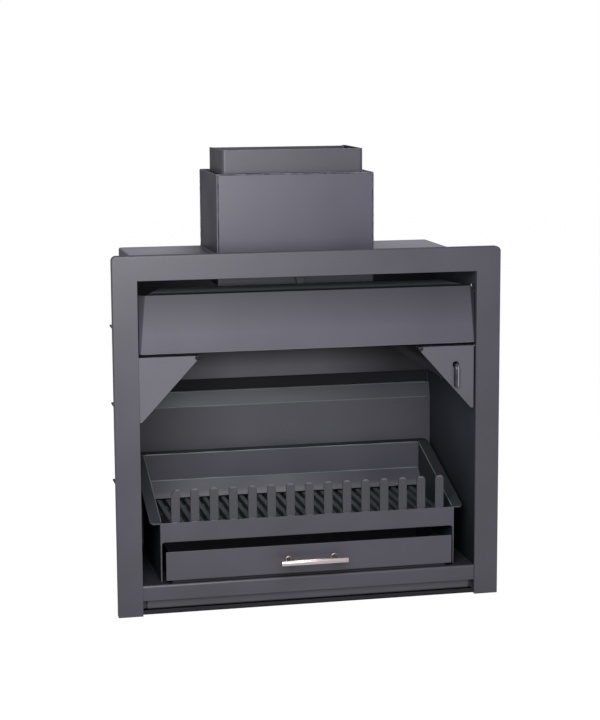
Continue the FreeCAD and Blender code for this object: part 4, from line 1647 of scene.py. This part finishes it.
@dataclass(frozen=True)
class AshDrawer:
    """The drawer under the grate: a front plate, a folded tray and a round bar handle on two posts."""

    front_round: float = 1.5 * MM
    lift: float = 2 * MM
    wall: float = 2 * MM
    tray_corner: float = 4 * MM
    handle_soft: float = 1.2 * MM
    post: float = 5 * MM
    collar: float = 6.5 * MM
    collar_thick: float = 2.4 * MM
    collar_start: float = 3.2 * MM
    screw_head: float = 3 * MM
    screw_side: float = 1.5 * MM
    screw_dome: float = 2.5 * MM

    def front(self) -> Shape:
        """The front plate with barely rounded corners, its lower edge a little off the hearth.

        Returns:
            Its surface.
        """
        low, high = corners("drawer_front")
        outline = rectangle(high[0], low[2] + self.lift, high[2], self.front_round)
        return plate(outline, Axis.Y, low[1], high[1])

    def tray(self) -> Shape:
        """The tray: its outside up to the rim, then its inside down to the floor.

        Returns:
            Its surface.
        """
        low, high = corners("drawer_tray")
        wall = self.wall
        outer = rectangle(high[0], low[1], high[1], self.tray_corner)
        inner = rectangle(high[0] - wall, low[1] + wall, high[1] - wall, self.tray_corner - wall)
        rings = [placed(outer, Axis.Z, low[2], high[2]), placed(inner, Axis.Z, high[2], low[2] + wall)]
        return skin(np.concatenate(rings))

    def handle(self) -> Shape:
        """The handle's bar: a turned rod with softly broken ends.

        Returns:
            Its surface.
        """
        low, high = corners("handle_bar")
        soft = self.handle_soft
        right = [(high[0] - soft * inset, (high[2] - low[2]) / 2 - soft * (1 - rise))
                 for inset, rise in ((1, 1), (0.3, 0.7), (0, 0))]
        left = [(-place, radius) for place, radius in right[::-1]]
        return turned([*left, *right], (0, *(low + high)[1:] / 2), Axis.X, 36)

    def posts(self) -> Shape:
        """The two posts, each with a small foot against the drawer.

        Returns:
            Their surface.
        """
        low, high = corners("handle_posts")
        middle, foot = high[0] - self.post, high[1]
        one = turned([
            (low[1], self.post), (foot - self.collar_start, self.post),
            (foot - self.collar_thick, self.collar), (foot, self.collar),
        ], (0, 0, (low[2] + high[2]) / 2), Axis.Y)
        return repeated(one, (-middle, middle))

    def screws(self) -> Shape:
        """The two screws inside the tray, with domed heads.

        Returns:
            Their surface.
        """
        low, high = corners("handle_screws")
        radius = (high[2] - low[2]) / 2
        head = high[1] - self.screw_head
        profile = [(low[1], 0.5), (head, 0.5), (head, 1.0), (head + self.screw_side, 0.92),
                   (head + self.screw_dome, 0.65), (high[1], 0.2)]
        one = turned([(place, radius * share) for place, share in profile],
                     (0, 0, (low[2] + high[2]) / 2), Axis.Y)
        return repeated(one, (radius - high[0], high[0] - radius))

    def build(self) -> None:
        """Make the drawer and its handle."""
        put = partial(piece, Body.DRAWER)
        put("drawer_front_plate", self.front(), Finishes.outside, Slot.INSIDE, "drawer_front",
            edge=0.8 * MM)
        put("drawer_tray_sheet", self.tray(), Finishes.soot, Slot.GRATE, "drawer_tray", edge=0.3 * MM)
        put("handle_bar_turned", self.handle(), Finishes.handle, Slot.HANDLE, "handle_bar", edge=0)
        put("handle_posts_turned", self.posts(), Finishes.posts, Slot.HANDLE, "handle_posts", edge=0)
        put("handle_screws_turned", self.screws(), Finishes.zinc, Slot.FASTENER, "handle_screws", edge=0)


def stand(name: str, data: bpy.types.ID, place: Sequence[float], right: np.ndarray, up: np.ndarray,
          back: np.ndarray) -> bpy.types.Object:
    """Put a camera or light into the scene.

    Args:
        name: Its name.
        data: The camera or light.
        place: Where it stands.
        right: Direction to its right.
        up: Direction of its top.
        back: Direction away from what it faces.

    Returns:
        The new object.
    """
    made = bpy.data.objects.new(name, data)
    turn = np.eye(4)
    turn[:3] = np.column_stack([right, up, back, place])
    made.matrix_world = Matrix(turn.tolist())
    bpy.context.scene.collection.objects.link(made)
    return made


@dataclass(frozen=True)
class Lamp:
    """A square soft light aimed at a point."""

    name: str
    place: tuple[float, float, float]
    aim: tuple[float, float, float]
    size: float
    watts: float

    def build(self) -> None:
        """Put the light into the scene."""
        light = bpy.data.lights.new(self.name, "AREA")
        light.size = self.size
        light.energy = self.watts
        back = unit(np.array(self.place) - np.array(self.aim))
        right = unit(np.cross(UP, back))
        stand(self.name, light, self.place, right, np.cross(back, right), back)


@dataclass(frozen=True)
class Studio:
    """The photograph's camera, a white studio and its lights.

    The camera's place and angles come from straight edges of the trim frame, the flue and the hearth.
    """

    place: tuple[float, float, float] = (-0.82127, -3.81858, 1.11880)
    yaw: float = 12.56
    pitch: float = 9.11
    roll: float = -0.27
    lens: float = 93.88
    shift: tuple[float, float] = (-0.0108, -0.0037)
    floor_half: float = 9.0
    floor_tone: str = "#c4c4c4"
    floor_white: float = 0.92
    floor_glow: float = 1.08
    ambient: float = 0.06
    aim: tuple[float, float, float] = (0.0, 0.0, 0.45)

    def camera(self) -> None:
        """Set the camera: its view axes are turned by yaw, then pitch, then rolled about the view line."""
        yaw, pitch, roll = np.radians([self.yaw, self.pitch, self.roll])
        ahead = np.array([np.sin(yaw) * np.cos(pitch), np.cos(yaw) * np.cos(pitch), -np.sin(pitch)])
        right = np.array([np.cos(yaw), -np.sin(yaw), 0.0])
        up = np.cross(right, ahead)
        rolled_right = right * np.cos(roll) + up * np.sin(roll)
        rolled_up = up * np.cos(roll) - right * np.sin(roll)
        data = bpy.data.cameras.new("photo_camera")
        data.sensor_fit = "VERTICAL"
        data.sensor_height = 36.0
        data.lens = self.lens
        data.shift_x, data.shift_y = self.shift
        data.clip_end = 60.0
        view = stand("photo_camera", data, self.place, rolled_right, rolled_up, -ahead)
        bpy.context.scene.camera = view

    def seen(self, add: partial) -> bpy.types.NodeSocket:
        """A value of 1 for camera, glossy and transmission rays, and 0 for the rest.

        Args:
            add: add_node for the tree.

        Returns:
            The value's socket.
        """
        first = add(Kind.LARGER, add(Kind.CAMERA_RAY), add(Kind.GLOSSY_RAY))
        return add(Kind.LARGER, first, add(Kind.CLEAR_RAY))

    def world(self) -> None:
        """A white world for what is seen or mirrored, and a dimmer one that lights the object."""
        world = bpy.data.worlds.new("white_studio")
        add = node_maker(world)
        strength = add(Kind.RANGE, self.seen(add), 0.0, 1.0, self.ambient, 1.0)
        add(Kind.WORLD, add(Kind.BACKDROP, linear("#ffffff"), strength))
        bpy.context.scene.world = world

    def floor(self) -> None:
        """A pale floor that is white to the camera and keeps a faint shadow."""
        half = self.floor_half
        mesh = bpy.data.meshes.new("studio_floor")
        corner = placed(block(-half, half, -half, half), Axis.Z, 0.0)[0]
        mesh.from_pydata(corner.tolist(), [], [(0, 1, 2, 3)])
        floor = bpy.data.objects.new("studio_floor", mesh)
        material = bpy.data.materials.new("white_floor")
        add = node_maker(material)
        matt = add(Kind.MATT, linear(self.floor_tone))
        glow = add(Kind.GLOW, linear("#ffffff"), self.floor_glow)
        share = add(Kind.RANGE, self.seen(add), 0.0, 1.0, 0.0, self.floor_white)
        add(Kind.SURFACE, add(Kind.BLEND, share, matt, glow))
        mesh.materials.append(material)
        bpy.context.scene.collection.objects.link(floor)

    def build(self) -> None:
        """Make the camera, the studio and the lights."""
        self.camera()
        self.world()
        self.floor()
        Lamp("front_softbox", (-0.36, -1.35, 1.05), self.aim, 1.0, 25.0).build()
        Lamp("top_softbox", (0.3, 0.3, 2.5), self.aim, 1.0, 55.0).build()
        bpy.context.scene.view_settings.view_transform = "Standard"


def main() -> None:
    """Build the fireplace's sub-assemblies in order, then the studio."""
    logging.basicConfig(level=logging.INFO, format="%(name)s %(message)s")
    for assembly in (
        TrimFrame(), Firebox(), Gussets(), Flue(), SmokeFlap(), Damper(), FireBasket(), AshDrawer(), Studio(),
    ):
        assembly.build()


if __name__ == "__main__":
    main()
